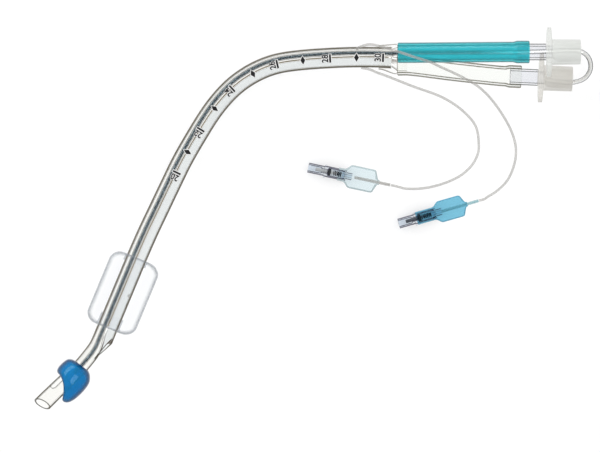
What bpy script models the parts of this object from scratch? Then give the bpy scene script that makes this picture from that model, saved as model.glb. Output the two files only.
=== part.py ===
"""Left endobronchial tube with its stylet, connectors, cuffs and two pilot balloons, lying at rest.

Metres, +Z up, the floor at Z = 0. +X runs towards the connectors and +Y to the outer side of the bend.
"""
import math

import bmesh
import bpy
from mathutils import Matrix, Vector
from mathutils.geometry import interpolate_bezier

# Gap left between two pieces that touch, and how far a cutter reaches past what it cuts
GAP = 0.0003
CUT_PAST = 0.0020

# Moves the whole model so that the origin lies on the floor under the middle of the tube
ORIGIN_SHIFT = (-0.0005, -0.0001, -0.0001)

# Double lumen shaft: two D-shaped lumens side by side, parted by a septum
SHAFT_RADIUS = 0.0062
SHAFT_WALL = 0.0012
SEPTUM = 0.0010
SHAFT_SIDES = 18
LUMEN_SIDES = 14

# A curve gets a new section at the latest after this length, or after this turn
STATION_LENGTH = 0.016
STATION_TURN = math.radians(6.5)

# Tracheal mouth: the outer half goes on alone, is cut at a slant and closes onto the bronchial section
MOUTH_LEAD = 0.0070
SKIVE_LENGTH = 0.0109
SKIVE_LEAN = 0.15
MOUTH_PINCH = 0.45

# Bronchial section, its bevelled mouth and its side eye
SECTION_OVERLAP = 0.0080
SECTION_STEP = 0.0001
SECTION_RADIUS = 0.0046
SECTION_WALL = 0.0011
TIP_RADIUS = 0.0052
TIP_BEVEL = math.radians(23)
TIP_SLANT = math.radians(13.5)
SIDE_EYE_LENGTH = 0.0130
SIDE_EYE_WIDTH = 0.0044
SIDE_EYE_FROM_TIP = 0.0182
SIDE_EYE_ANGLE = math.radians(44)

# Smooth centreline of the shaft, from the junction to the tracheal mouth, and on to the bronchial tip
SHAFT_ROUTE = (
    (0.0470, 0.0966, 0.0119),
    (0.0372, 0.0969, 0.0115),
    (0.0222, 0.0969, 0.0104),
    (0.0072, 0.0963, 0.0092),
    (-0.0078, 0.0952, 0.0081),
    (-0.0198, 0.0935, 0.0073),
    (-0.0288, 0.0908, 0.0068),
    (-0.0378, 0.0864, 0.0065),
    (-0.0468, 0.0801, 0.0062),
    (-0.0546, 0.0723, 0.0064),
    (-0.0618, 0.0630, 0.0067),
    (-0.0702, 0.0495, 0.0079),
    (-0.0784, 0.0351, 0.0097),
    (-0.0854, 0.0207, 0.0116),
    (-0.0922, 0.0063, 0.0133),
    (-0.0990, -0.0081, 0.0145),
    (-0.1053, -0.0225, 0.0151),
    (-0.1113, -0.0369, 0.0153),
    (-0.1173, -0.0513, 0.0154),
    (-0.1233, -0.0657, 0.0157),
)
TRACHEAL_END_ROUTE = (
    (-0.1271, -0.0748, 0.0161),
    (-0.1325, -0.0878, 0.0163),
)
BRONCHIAL_END_ROUTE = (
    (-0.1284, -0.0752, 0.0162),
    (-0.1339, -0.0822, 0.0166),
    (-0.1396, -0.0890, 0.0170),
    (-0.1515, -0.1006, 0.0178),
    (-0.1630, -0.1119, 0.0186),
)

# Tracheal cuff: a clear film balloon welded round the shaft
CUFF_RADIUS = 0.01535
CUFF_LENGTH = 0.0459
CUFF_CORNER = 0.0068
CUFF_FILM = 0.0003
CUFF_NECK = 0.0030
CUFF_LEAD = 0.0010
CUFF_ROOT = 0.0012
CUFF_RECESS = 0.0050
CUFF_BEFORE_MOUTH = 0.0298
CUFF_SIDES = 18
PORT_RADIUS = 0.0009
PORT_DEPTH = 0.0007
PORT_ANGLE = math.radians(142)

# Bronchial cuff: a short blue bead, longer and wider on its inner side
BEAD_RADIUS = 0.0106
BEAD_INNER_SWELL = 0.0013
BEAD_FILM = 0.0004
BEAD_FROM_TIP = 0.0322
BEAD_SHORT = 0.0114
BEAD_LONG = 0.0192
BEAD_DIP = 0.0028
BEAD_DIP_FROM = 0.4

# The bead's outline from its upper weld to its lower one, as shares of its length and of its swell
BEAD_OUTLINE = (
    (-0.10, 0.00),
    (-0.06, 0.28),
    (0.00, 0.52),
    (0.08, 0.74),
    (0.20, 0.89),
    (0.38, 0.98),
    (0.58, 1.00),
    (0.78, 0.94),
    (0.94, 0.74),
    (1.02, 0.42),
    (1.02, 0.16),
    (0.96, 0.00),
)

# Junction collar: a moulded piece that holds the shaft and carries both limbs on spigots
COLLAR_START = 0.0394
COLLAR_END = 0.0504
COLLAR_WALL = 0.0009
COLLAR_END_RADIUS = 0.0053
COLLAR_SIDES = 20
SPIGOT_RADIUS = 0.00435
SPIGOT_WALL = 0.0010
SPIGOT_LENGTH = 0.0060
SPIGOT_SIDES = 16
BRONCHIAL_SPIGOT = (0.0994, 0.0167)
TRACHEAL_SPIGOT = (0.0921, 0.0064)

# Limb tubes between the junction collar and the connectors
LIMB_WALL = 0.0015
LIMB_OVER_STEM = 0.0068
LIMB_FLARE = 0.0030
LIMB_CHAMFER = 0.0007
LIMB_STRAIGHT = 0.0060
LIMB_SIDES = 18

# Connectors: a 15 mm male end, a winged flange and a stem that the limb is pushed onto
STEM_RADIUS = 0.0050
STEM_LENGTH = 0.0171
STEM_WALL = 0.0013
FLANGE_THICKNESS = 0.0030
FLANGE_TIP_THICKNESS = 0.0023
FLANGE_SPAN = 0.0296
FLANGE_WIDTH = 0.0100
FLANGE_CORNER = 0.0036
FLANGE_RING_RADIUS = 0.0085
BARREL_RADIUS = 0.0075
BARREL_ROOT_RADIUS = 0.0077
BARREL_LENGTH = 0.0174
BARREL_BORE = 0.0058
BARREL_BORE_DEPTH = 0.0140
BORE_TAPER = 0.0030
EDGE_CHAMFER = 0.0004
CONNECTOR_SIDES = 24
BORE_SIDES = 20
BRONCHIAL_STEM_END = (0.1227, 0.0997, 0.0215)
BRONCHIAL_HEADING = math.radians(0)
TRACHEAL_STEM_END = (0.1185, 0.0855, 0.0086)
TRACHEAL_HEADING = math.radians(-2.5)

# Stylet: a soft metal core in a clear sheath, bent back at the connectors
CORE_RADIUS = 0.0007
CORE_PLAY = 0.00033
SHEATH_WALL = 0.00037
SHEATH_END_WALL = 0.0007
STYLET_OFFSET = 0.0026
STYLET_RISE = 0.0010
STYLET_RISE_LENGTH = 0.0250
STYLET_TURN = math.radians(8.5)
STYLET_START = 0.0070
STYLET_END_FROM_TIP = 0.0265
STYLET_LOOP = (
    (0.1395, 0.0835, 0.0083),
    (0.1480, 0.0822, 0.0085),
    (0.1555, 0.0818, 0.0088),
    (0.1625, 0.0838, 0.0106),
    (0.1662, 0.0885, 0.0136),
    (0.1662, 0.0940, 0.0172),
    (0.1635, 0.0982, 0.0200),
    (0.1590, 0.1004, 0.0212),
    (0.1520, 0.1006, 0.0215),
    (0.1400, 0.1000, 0.0214),
    (0.1225, 0.0996, 0.0212),
    (0.0950, 0.0995, 0.0194),
    (0.0700, 0.0994, 0.0176),
    (0.0575, 0.0994, 0.0161),
    (0.0515, 0.0994, 0.0151),
    (0.0468, 0.0991, 0.0133),
)

# Check valve: all heights run from the syringe mouth inwards
LUER_RADIUS = 0.00305
LUER_BORE = 0.00215
LUER_BORE_DEPTH = 0.0080
LUER_TAPER = 0.0001
LUER_FLOOR = 0.0006
SYRINGE_DEPTH = 0.0060
VALVE_RADIUS = 0.0034
VALVE_SIDES = 16
LUG_HEIGHT = 0.0098
LUG_THICKNESS = 0.0010
LUG_SPAN = 0.0080
LUG_WIDTH = 0.0026
SEAT_HOLE = 0.0014
SEAT_HEIGHT = 0.0116
CHAMBER_RADIUS = 0.0026
CHAMBER_HEIGHT = 0.0124
VALVE_LENGTH = 0.0224
PLUNGER_TRAVEL = 0.0015
PLUNGER_RADIUS = 0.00105
PLUNGER_NECK = 0.0008
PLUNGER_HEAD = 0.0017
PLUNGER_HEAD_THICKNESS = 0.0008
PLUNGER_PIN = 0.0007
PLUNGER_PIN_LENGTH = 0.0024
PLUNGER_SIDES = 12
SEAL_RADIUS = 0.0022
SEAL_THICKNESS = 0.0020
SEAL_SIDES = 14
SPRING_WIRE = 0.00045
SPRING_RADIUS = 0.0015
SPRING_TURNS = 5
SPRING_STEPS = 8
PLUG_DEPTH = 0.0014
PLUG_FLANGE = 0.0006
PLUG_FLANGE_RADIUS = 0.0032
TAIL_RADIUS = 0.0021
TAIL_BORE = 0.0009
TAIL_LENGTH = 0.0036
TAIL_SIDES = 14

# Height where the valve's outlet tube ends
TAIL_END = VALVE_LENGTH + GAP + PLUG_FLANGE + TAIL_LENGTH

# Pilot balloons and their lines
PILOT_HEIGHT = 0.0041
PILOT_FILM = 0.00025
PILOT_FLATNESS = 0.55
PILOT_SHOULDER = 0.0026
PILOT_EDGE = 0.0005
PILOT_EXIT_NECK = 0.0010
PILOT_SIDES = 16
SLEEVE_RADIUS = 0.00095
SLEEVE_BORE = 0.0005
SLEEVE_SIDES = 10
LINE_RADIUS = 0.00075
LINE_SPACING = 0.0045
LINE_LEAD = 0.0040
NOTCH_LENGTH = 0.0050
NOTCH_SIDES = 10

TRACHEAL_PILOT = {
    "mouth": (-0.0029, 0.0307),
    "heading": math.radians(-12),
    "neck": 0.0040,
    "half_width": 0.0071,
    "length": 0.0147,
    "sleeve_gap": 0.0017,
    "sleeve_out": 0.0077,
}
TRACHEAL_LINE_ROUTE = (
    (0.0290, 0.0906, 0.0102),
    (0.0340, 0.0897, 0.0093),
    (0.0385, 0.0878, 0.0077),
    (0.0430, 0.0863, 0.0060),
    (0.0606, 0.0795, 0.0022),
    (0.0764, 0.0738, 0.0010),
    (0.0870, 0.0676, 0.0009),
    (0.0958, 0.0593, 0.0009),
    (0.0990, 0.0531, 0.0009),
    (0.1000, 0.0427, 0.0009),
    (0.0989, 0.0376, 0.0009),
    (0.0953, 0.0315, 0.0010),
    (0.0880, 0.0253, 0.0013),
    (0.0771, 0.0206, 0.0020),
    (0.0662, 0.0182, 0.0030),
    (0.0560, 0.0180, 0.0038),
)
BRONCHIAL_PILOT = {
    "mouth": (0.0516, -0.0031),
    "heading": math.radians(16),
    "neck": 0.0112,
    "half_width": 0.0066,
    "length": 0.0139,
    "sleeve_gap": 0.0003,
    "sleeve_out": 0.0081,
}
BRONCHIAL_LINE_ROUTE = (
    (0.0262, 0.1021, 0.0146),
    (0.0300, 0.1036, 0.0158),
    (0.0342, 0.1044, 0.0174),
    (0.0402, 0.1032, 0.0203),
    (0.0462, 0.1012, 0.0236),
    (0.0510, 0.0998, 0.0253),
    (0.0600, 0.0967, 0.0258),
    (0.0702, 0.0935, 0.0242),
    (0.0760, 0.0909, 0.0214),
    (0.0840, 0.0874, 0.0180),
    (0.0925, 0.0833, 0.0144),
    (0.1002, 0.0786, 0.0101),
    (0.1080, 0.0711, 0.0042),
    (0.1160, 0.0597, 0.0016),
    (0.1206, 0.0501, 0.0009),
    (0.1224, 0.0411, 0.0009),
    (0.1212, 0.0321, 0.0010),
    (0.1172, 0.0231, 0.0017),
    (0.1104, 0.0163, 0.0030),
    (0.1046, 0.0127, 0.0038),
)


def clear_scene():
    for old in list(bpy.data.objects):
        bpy.data.objects.remove(old, do_unlink=True)


def make_collection(name):
    collection = bpy.data.collections.new(name)
    bpy.context.scene.collection.children.link(collection)
    return collection


def make_material(name, colour, roughness, metallic=0.0, alpha=1.0):
    material = bpy.data.materials.new(name)
    material.use_nodes = True
    shader = material.node_tree.nodes["Principled BSDF"]
    shader.inputs["Base Color"].default_value = (*colour, 1.0)
    shader.inputs["Roughness"].default_value = roughness
    shader.inputs["Metallic"].default_value = metallic
    shader.inputs["Alpha"].default_value = alpha
    material.diffuse_color = (*colour, alpha)
    return material


class Route:
    """A smooth curve through chosen points, read by the distance along it."""

    def __init__(self, points):
        points = [Vector(point) for point in points]
        aims = []
        for index, point in enumerate(points):
            before = points[max(index - 1, 0)]
            after = points[min(index + 1, len(points) - 1)]
            aims.append((after - before).normalized())
        self.places = [points[0]]
        self.distances = [0.0]
        self.knots = [0.0]
        for start, end, aim, next_aim in zip(points, points[1:], aims, aims[1:]):
            reach = (end - start).length / 3
            stretch = interpolate_bezier(start, start + aim * reach, end - next_aim * reach, end, 17)
            for place in stretch[1:]:
                self.distances.append(self.distances[-1] + (place - self.places[-1]).length)
                self.places.append(place)
            self.knots.append(self.distances[-1])
        self.length = self.distances[-1]

    def place(self, distance):
        """The point at a distance, straight on past either end."""
        if distance <= 0:
            return self.places[0] + (self.places[1] - self.places[0]).normalized() * distance
        if distance >= self.length:
            end = self.places[-1]
            return end + (end - self.places[-2]).normalized() * (distance - self.length)
        for index, reached in enumerate(self.distances):
            if reached >= distance:
                break
        start, end = self.places[index - 1], self.places[index]
        share = (distance - self.distances[index - 1]) / (reached - self.distances[index - 1])
        return start.lerp(end, share)

    def frame(self, distance, reach=0.0015):
        """The place, the heading, the level direction to the outer side and the one upwards."""
        heading = (self.place(distance + reach) - self.place(distance - reach)).normalized()
        side = heading.cross(Vector((0, 0, 1))).normalized()
        return self.place(distance), heading, side, side.cross(heading)

    def stations(self, start, end, longest=STATION_LENGTH, sharpest=STATION_TURN, step=0.0005, least=0.003):
        """Distances from start to end, closer together where the curve turns."""
        chosen = [start]
        heading = self.frame(start)[1]
        steps = max(int((end - start) / step), 1)
        for count in range(1, steps):
            distance = start + (end - start) * count / steps
            turned = heading.angle(self.frame(distance)[1])
            gone = distance - chosen[-1]
            if (gone > longest or turned > sharpest) and end - distance > least:
                chosen.append(distance)
                heading = self.frame(distance)[1]
        return chosen + [end]


def disc(radius, sides):
    return [
        (radius * math.cos(2 * math.pi * step / sides), radius * math.sin(2 * math.pi * step / sides))
        for step in range(sides)
    ]


def half_disc(radius, flat, sides, hand=1):
    """A disc cut off flat, on the side away from the hand."""
    reach = math.sqrt(radius**2 - flat**2)
    return [(hand * max(hand * x, flat), max(-reach, min(reach, y))) for x, y in disc(radius, sides)]


def eased(outline):
    """The outline with each point drawn a little towards its neighbours, which rounds its corners."""
    points = []
    for index, (x, y) in enumerate(outline):
        before = outline[index - 1]
        after = outline[(index + 1) % len(outline)]
        points.append(((before[0] + 4 * x + after[0]) / 6, (before[1] + 4 * y + after[1]) / 6))
    return points


def lumen(hand):
    """The section of one lumen: a half disc beside the septum."""
    return eased(half_disc(SHAFT_RADIUS - SHAFT_WALL, SEPTUM / 2, LUMEN_SIDES, hand))


def blend(first, second, share):
    return [
        (a[0] + (b[0] - a[0]) * share, a[1] + (b[1] - a[1]) * share) for a, b in zip(first, second)
    ]


def ease(share):
    share = max(0.0, min(1.0, share))
    return share * share * (3 - 2 * share)


def ring(route, distance, outline, lean=None):
    """An outline set square on the route. lean shifts each point along it by its own amount."""
    place, heading, side, up = route.frame(distance)
    points = []
    for across, high in outline:
        shift = lean(across, high) if lean else 0.0
        points.append(place + side * across + up * high + heading * shift)
    return points


def skin(name, rings, ends=True):
    """A mesh over a row of rings that have the same number of points, closed at its ends or open."""
    built = bmesh.new()
    rows = [[built.verts.new(point) for point in points] for points in rings]
    sides = len(rows[0])
    for row, after in zip(rows, rows[1:]):
        for index in range(sides):
            built.faces.new((row[index], row[index - 1], after[index - 1], after[index]))
    if ends:
        built.faces.new(rows[0])
        built.faces.new(rows[-1][::-1])
        bmesh.ops.recalc_face_normals(built, faces=built.faces)
    mesh = bpy.data.meshes.new(name)
    built.to_mesh(mesh)
    built.free()
    return mesh


def shell(name, outer, inner, blind=False):
    """A tube wall between two rows of rings, open at both ends, or closed at its far end."""
    built = bmesh.new()
    outside = [[built.verts.new(point) for point in points] for points in outer]
    inside = [[built.verts.new(point) for point in points] for points in inner]
    sides = len(outside[0])
    bands = list(zip(outside, outside[1:])) + list(zip(inside, inside[1:]))
    bands.append((outside[0], inside[0]))
    if blind:
        built.faces.new(outside[-1])
        built.faces.new(inside[-1])
    else:
        bands.append((outside[-1], inside[-1]))
    for row, after in bands:
        for index in range(sides):
            built.faces.new((row[index], row[index - 1], after[index - 1], after[index]))
    bmesh.ops.recalc_face_normals(built, faces=built.faces)
    mesh = bpy.data.meshes.new(name)
    built.to_mesh(mesh)
    built.free()
    return mesh


def turned_mesh(name, profile, closed):
    mesh = bpy.data.meshes.new(name)
    edges = [(index, index + 1) for index in range(len(profile) - 1)]
    if closed:
        edges.append((len(profile) - 1, 0))
    mesh.from_pydata([(radius, 0, height) for radius, height in profile], edges, [])
    return mesh


def add_screw(target, sides):
    screw = target.modifiers.new("turned", "SCREW")
    screw.steps = screw.render_steps = sides
    screw.use_merge_vertices = True
    screw.merge_threshold = 0.00001


def add_solidify(target, thickness):
    wall = target.modifiers.new("film", "SOLIDIFY")
    wall.thickness = thickness
    wall.offset = -1


def add_boolean(target, cutter, operation):
    cut = target.modifiers.new(cutter.name, "BOOLEAN")
    cut.object = cutter
    cut.operation = operation
    cut.solver = "EXACT"


def place_object(name, mesh, collection, material=None, parent=None):
    placed = bpy.data.objects.new(name, mesh)
    collection.objects.link(placed)
    if material:
        mesh.materials.append(material)
    if parent:
        placed.parent = parent
    return placed


def place_cutter(name, mesh, parent=None):
    cutter = place_object(name, mesh, cutters, parent=parent)
    cutter.hide_render = True
    cutter.display_type = "WIRE"
    return cutter


def place_turned(name, profile, sides, collection, material, parent, closed=True):
    placed = place_object(name, turned_mesh(name, profile, closed), collection, material, parent)
    add_screw(placed, sides)
    return placed


def turned_cutter(name, profile, sides, parent):
    cutter = place_cutter(name, turned_mesh(name, profile, closed=False), parent)
    add_screw(cutter, sides)
    return cutter


def place_frame(name, origin, ahead):
    """An empty whose local Z looks along the heading, with its local Y upwards."""
    ahead = Vector(ahead).normalized()
    across = Vector((0, 0, 1)).cross(ahead).normalized()
    up = ahead.cross(across)
    empty = bpy.data.objects.new(name, None)
    parts.objects.link(empty)
    turn = Matrix((across, up, ahead)).transposed()
    empty.matrix_world = Matrix.Translation(Vector(origin)) @ turn.to_4x4()
    return empty


def wall_cut(name, route, distance, angle, outline, inner, outer):
    """A cutter through the wall of a tube, at an angle round it: its outline lies across and along it."""
    place, heading, side, up = route.frame(distance)
    outwards = side * math.cos(angle) + up * math.sin(angle)
    frame = bpy.data.objects.new(name + "_frame", None)
    parts.objects.link(frame)
    turn = Matrix((outwards.cross(heading), outwards, heading)).transposed()
    frame.matrix_world = Matrix.Translation(place) @ turn.to_4x4()
    rings = [[Vector((across, depth, along)) for across, along in outline] for depth in (inner, outer)]
    return place_cutter(name, skin(name, rings), frame)


def slot_outline(length, width, sides=12):
    """A slot with round ends, its length along the second axis."""
    points = []
    straight = (length - width) / 2
    for x, y in disc(width / 2, sides):
        points.append((x, y + (straight if y >= 0 else -straight)))
    return points


def roundness(distance):
    """How far the bronchial section has gone from a half disc to round, from 0 to 1."""
    return ease((distance - round_from) / (round_to - round_from))


def bronchial_radius(distance):
    share = ease((distance - round_to) / (bronchial_route.length - round_to))
    return SECTION_RADIUS + (TIP_RADIUS - SECTION_RADIUS) * share


def tip_bevel(across, high):
    return (across - TIP_RADIUS) * math.tan(TIP_SLANT) - high * math.tan(TIP_BEVEL)


def pinched(outline, share):
    """The outline lowered by a share of the tracheal mouth's pinch."""
    return [(across, high * (1 - MOUTH_PINCH * share)) for across, high in outline]


def build_shaft():
    """The extruded double tube, skived open on its tracheal side, with its drawn out bronchial section."""
    slope = SKIVE_LENGTH / (SHAFT_RADIUS - SEPTUM / 2)
    mouth_end = mouth_start + SHAFT_RADIUS * slope

    def skive(across, high):
        return (across + SHAFT_RADIUS) * slope - high * SKIVE_LEAN

    full = disc(SHAFT_RADIUS, SHAFT_SIDES)
    half = half_disc(SHAFT_RADIUS, 0.0, SHAFT_SIDES, hand=-1)
    closing = [(across, high * (1 - MOUTH_PINCH * (1 + across / SHAFT_RADIUS))) for across, high in half]
    rings = [ring(tracheal_route, distance, full) for distance in tracheal_route.stations(0, double_end)]
    rings.append(ring(tracheal_route, double_end + GAP, half))
    rings.append(ring(tracheal_route, mouth_start, closing, skive))
    shaft = place_object("double_lumen_shaft", skin("double_lumen_shaft", rings), parts, clear_vinyl)

    bore_rings = []
    for distance in tracheal_route.stations(-CUT_PAST, double_end):
        bore_rings.append(ring(tracheal_route, distance, lumen(-1)))
    for distance in tracheal_route.stations(double_end, mouth_end + CUT_PAST)[1:]:
        share = (distance - double_end) / (mouth_end - double_end)
        bore_rings.append(ring(tracheal_route, distance, pinched(lumen(-1), share)))
    add_boolean(shaft, place_cutter("tracheal_lumen", skin("tracheal_lumen", bore_rings)), "DIFFERENCE")

    section_rings = []
    start = round_from - SECTION_OVERLAP
    for distance in bronchial_route.stations(start, bronchial_route.length, sharpest=0.16):
        grown = 2 * ease((distance - start) / SECTION_OVERLAP) - 1
        flat = -SEPTUM / 2 - SECTION_STEP / 2 * grown
        blank = eased(half_disc(SHAFT_RADIUS + SECTION_STEP * grown, flat, SHAFT_SIDES))
        outline = blend(blank, disc(bronchial_radius(distance), SHAFT_SIDES), roundness(distance))
        lean = tip_bevel if distance >= bronchial_route.length else None
        section_rings.append(ring(bronchial_route, distance, outline, lean))
    section = place_cutter("bronchial_section", skin("bronchial_section", section_rings))
    add_boolean(shaft, section, "UNION")

    bore_rings = []
    for distance in bronchial_route.stations(-CUT_PAST, bronchial_route.length + 2 * CUT_PAST, sharpest=0.15):
        round_bore = disc(bronchial_radius(distance) - SECTION_WALL, LUMEN_SIDES)
        bore_rings.append(ring(bronchial_route, distance, blend(lumen(1), round_bore, roundness(distance))))
    add_boolean(shaft, place_cutter("bronchial_lumen", skin("bronchial_lumen", bore_rings)), "DIFFERENCE")

    eye = wall_cut(
        "side_eye",
        bronchial_route,
        bronchial_route.length - SIDE_EYE_FROM_TIP,
        SIDE_EYE_ANGLE,
        slot_outline(SIDE_EYE_LENGTH, SIDE_EYE_WIDTH),
        TIP_RADIUS * 0.3,
        TIP_RADIUS + CUT_PAST,
    )
    add_boolean(shaft, eye, "DIFFERENCE")
    port = wall_cut(
        "inflation_port",
        tracheal_route,
        mouth_start - CUFF_BEFORE_MOUTH,
        PORT_ANGLE,
        disc(PORT_RADIUS, 10),
        SHAFT_RADIUS - PORT_DEPTH,
        SHAFT_RADIUS + CUT_PAST,
    )
    add_boolean(shaft, port, "DIFFERENCE")
    for name, route in (("tracheal_line_notch", tracheal_line), ("bronchial_line_notch", bronchial_line)):
        outline = disc(LINE_RADIUS + GAP, NOTCH_SIDES)
        notch_rings = [ring(route, distance, outline) for distance in (-GAP, NOTCH_LENGTH, NOTCH_LENGTH * 2)]
        add_boolean(shaft, place_cutter(name, skin(name, notch_rings)), "DIFFERENCE")


def build_tracheal_cuff():
    """A film sleeve blown to a barrel and turned in at its lower end, round the shaft."""
    centre = mouth_start - CUFF_BEFORE_MOUTH
    neck = SHAFT_RADIUS + GAP + CUFF_FILM
    top = centre - CUFF_LENGTH / 2
    bottom = centre + CUFF_LENGTH / 2
    turns = [math.radians(22.5 * step) for step in range(5)]
    profile = [(top + CUFF_LEAD + CUFF_NECK, neck), (top + CUFF_LEAD, neck)]
    profile.append((top + CUFF_LEAD / 5, neck + CUFF_ROOT))
    for turn in reversed(turns):
        rounding = CUFF_CORNER * (1 - math.sin(turn))
        profile.append((top + rounding, CUFF_RADIUS - CUFF_CORNER * (1 - math.cos(turn))))
    for turn in turns:
        rounding = CUFF_CORNER * (1 - math.sin(turn))
        profile.append((bottom - rounding, CUFF_RADIUS - CUFF_CORNER * (1 - math.cos(turn))))
    profile.append((bottom - CUFF_RECESS * 0.55, neck + CUFF_ROOT))
    profile.append((bottom - CUFF_RECESS, neck))
    profile.append((bottom - CUFF_RECESS - CUFF_NECK, neck))
    rings = [ring(tracheal_route, distance, disc(radius, CUFF_SIDES)) for distance, radius in profile]
    cuff = place_object("tracheal_cuff", skin("tracheal_cuff", rings, ends=False), parts, cuff_film)
    add_solidify(cuff, CUFF_FILM)


def build_bronchial_cuff():
    """A bead of blue film round the tip, its lower lip drawn back above and below the tube."""
    start = bronchial_route.length - BEAD_FROM_TIP
    middle = (BEAD_SHORT + BEAD_LONG) / 2
    rings = []
    for share, swell in BEAD_OUTLINE:
        points = []
        for x, y in disc(1.0, SHAFT_SIDES):
            distance = start + (middle - (BEAD_LONG - BEAD_SHORT) / 2 * x) * share
            distance -= BEAD_DIP * y * y * ease((share - BEAD_DIP_FROM) / (1 - BEAD_DIP_FROM))
            neck = bronchial_radius(distance) + GAP + BEAD_FILM
            wide = neck + (BEAD_RADIUS - BEAD_INNER_SWELL * x - neck) * swell
            place, heading, side, up = bronchial_route.frame(distance)
            points.append(place + side * wide * x + up * wide * y)
        rings.append(points)
    cuff = place_object("bronchial_cuff", skin("bronchial_cuff", rings, ends=False), parts, blue_film)
    add_solidify(cuff, BEAD_FILM)


def level_ring(x, outline, centre):
    return [Vector((x, centre[0] + across, centre[1] + high)) for across, high in outline]


def oval_outline(first, second, radius, sides):
    """The outline of two discs of one radius and the band between them, as offsets from their middle."""
    middle = Vector(((first[0] + second[0]) / 2, (first[1] + second[1]) / 2))
    reach = Vector((first[0] - middle[0], first[1] - middle[1]))
    points = []
    for x, y in disc(radius, sides):
        facing = 1 if Vector((x, y)).dot(reach) >= 0 else -1
        points.append((x + reach[0] * facing, y + reach[1] * facing))
    return middle, points


def build_collar():
    """The moulded junction: a socket for the shaft, an oval end wall and two spigots for the limbs."""
    junction = SHAFT_ROUTE[0]
    socket_depth = junction[0] - COLLAR_START
    socket = SHAFT_RADIUS + GAP
    lip = disc(socket + COLLAR_WALL, COLLAR_SIDES)
    lip_centre = tracheal_route.place(socket_depth).yz
    middle, oval = oval_outline(BRONCHIAL_SPIGOT, TRACHEAL_SPIGOT, COLLAR_END_RADIUS, COLLAR_SIDES)
    rings = []
    for share in (0.0, 1 / 3, 2 / 3, 1.0):
        x = COLLAR_START + (COLLAR_END - COLLAR_START) * share
        rings.append(level_ring(x, blend(lip, oval, ease(share)), lip_centre.lerp(middle, ease(share))))
    collar = place_object("junction_collar", skin("junction_collar", rings), parts, clear_vinyl)

    spigots = (("bronchial", BRONCHIAL_SPIGOT, 1), ("tracheal", TRACHEAL_SPIGOT, -1))
    for name, spot, hand in spigots:
        outline = disc(SPIGOT_RADIUS, SPIGOT_SIDES)
        ends = (COLLAR_END - CUT_PAST, COLLAR_END + SPIGOT_LENGTH)
        spigot_rings = [level_ring(x, outline, spot) for x in ends]
        spigot = place_cutter(name + "_spigot", skin(name + "_spigot", spigot_rings))
        add_boolean(collar, spigot, "UNION")

    outline = disc(socket, COLLAR_SIDES)
    ends = (-GAP, socket_depth + 2 * CUT_PAST)
    socket_rings = [ring(tracheal_route, distance, outline) for distance in ends]
    add_boolean(collar, place_cutter("shaft_socket", skin("shaft_socket", socket_rings)), "DIFFERENCE")

    for name, spot, hand in spigots:
        round_bore = [(hand * x, y) for x, y in disc(SPIGOT_RADIUS - SPIGOT_WALL, LUMEN_SIDES)]
        opened = [(hand * x, y) for x, y in lumen(1)]
        passage_rings = [
            level_ring(junction[0] - 2 * GAP, opened, junction[1:]),
            level_ring(COLLAR_END + GAP, round_bore, spot),
            level_ring(COLLAR_END + SPIGOT_LENGTH + CUT_PAST, round_bore, spot),
        ]
        passage = place_cutter(name + "_passage", skin(name + "_passage", passage_rings))
        add_boolean(collar, passage, "DIFFERENCE")


def connector_heading(angle):
    return Vector((math.cos(angle), math.sin(angle), 0))


def build_limb(name, spot, stem_end, angle, material):
    """A soft tube pushed over the collar's spigot at one end and stretched over a stem at the other."""
    heading = connector_heading(angle)
    start = Vector((COLLAR_END + GAP, spot[0], spot[1]))
    stem = Vector(stem_end)
    straight = Vector((SPIGOT_LENGTH + 5 * GAP, 0, 0))
    points = [start, start + straight, start.lerp(stem, 0.5), stem - heading * LIMB_STRAIGHT, stem]
    route = Route(points + [stem + heading * LIMB_OVER_STEM])
    bore = SPIGOT_RADIUS + GAP
    stretched = STEM_RADIUS + GAP
    flare_end = route.knots[4] - GAP
    rows = [(0, bore, LIMB_WALL - LIMB_CHAMFER), (LIMB_CHAMFER, bore, LIMB_WALL)]
    for distance in route.stations(route.knots[1], flare_end - LIMB_FLARE, longest=0.025):
        rows.append((distance, bore, LIMB_WALL))
    rows += [(flare_end, stretched, LIMB_WALL), (route.length, stretched, LIMB_WALL)]
    outer = [ring(route, distance, disc(radius + wall, LIMB_SIDES)) for distance, radius, wall in rows]
    inner = [ring(route, distance, disc(radius, LIMB_SIDES)) for distance, radius, wall in rows]
    place_object(name, shell(name, outer, inner), parts, material)


def flange_wings(name, parent):
    """A flat bar across the connector: thinner towards its ends, which are rounded off."""
    built = bmesh.new()
    middle = STEM_LENGTH + FLANGE_THICKNESS / 2
    bmesh.ops.create_cube(built, size=1.0)
    bmesh.ops.scale(built, vec=(FLANGE_SPAN, FLANGE_WIDTH, FLANGE_THICKNESS), verts=built.verts)
    bmesh.ops.translate(built, vec=(0, 0, middle), verts=built.verts)
    for x in (-FLANGE_RING_RADIUS, FLANGE_RING_RADIUS):
        geometry = list(built.verts) + list(built.edges) + list(built.faces)
        bmesh.ops.bisect_plane(built, geom=geometry, plane_co=(x, 0, 0), plane_no=(1, 0, 0))
    tips = [vert for vert in built.verts if abs(vert.co.x) > FLANGE_SPAN / 2 - GAP]
    for vert in tips:
        vert.co.z = middle + (vert.co.z - middle) * FLANGE_TIP_THICKNESS / FLANGE_THICKNESS
    corners = []
    for edge in built.edges:
        first, second = edge.verts
        if first in tips and second in tips and abs(first.co.y - second.co.y) < GAP:
            corners.append(edge)
    bmesh.ops.bevel(built, geom=corners, offset=FLANGE_CORNER, segments=4, affect="EDGES", profile=0.5)
    mesh = bpy.data.meshes.new(name)
    built.to_mesh(mesh)
    built.free()
    return place_cutter(name, mesh, parent)


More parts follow.
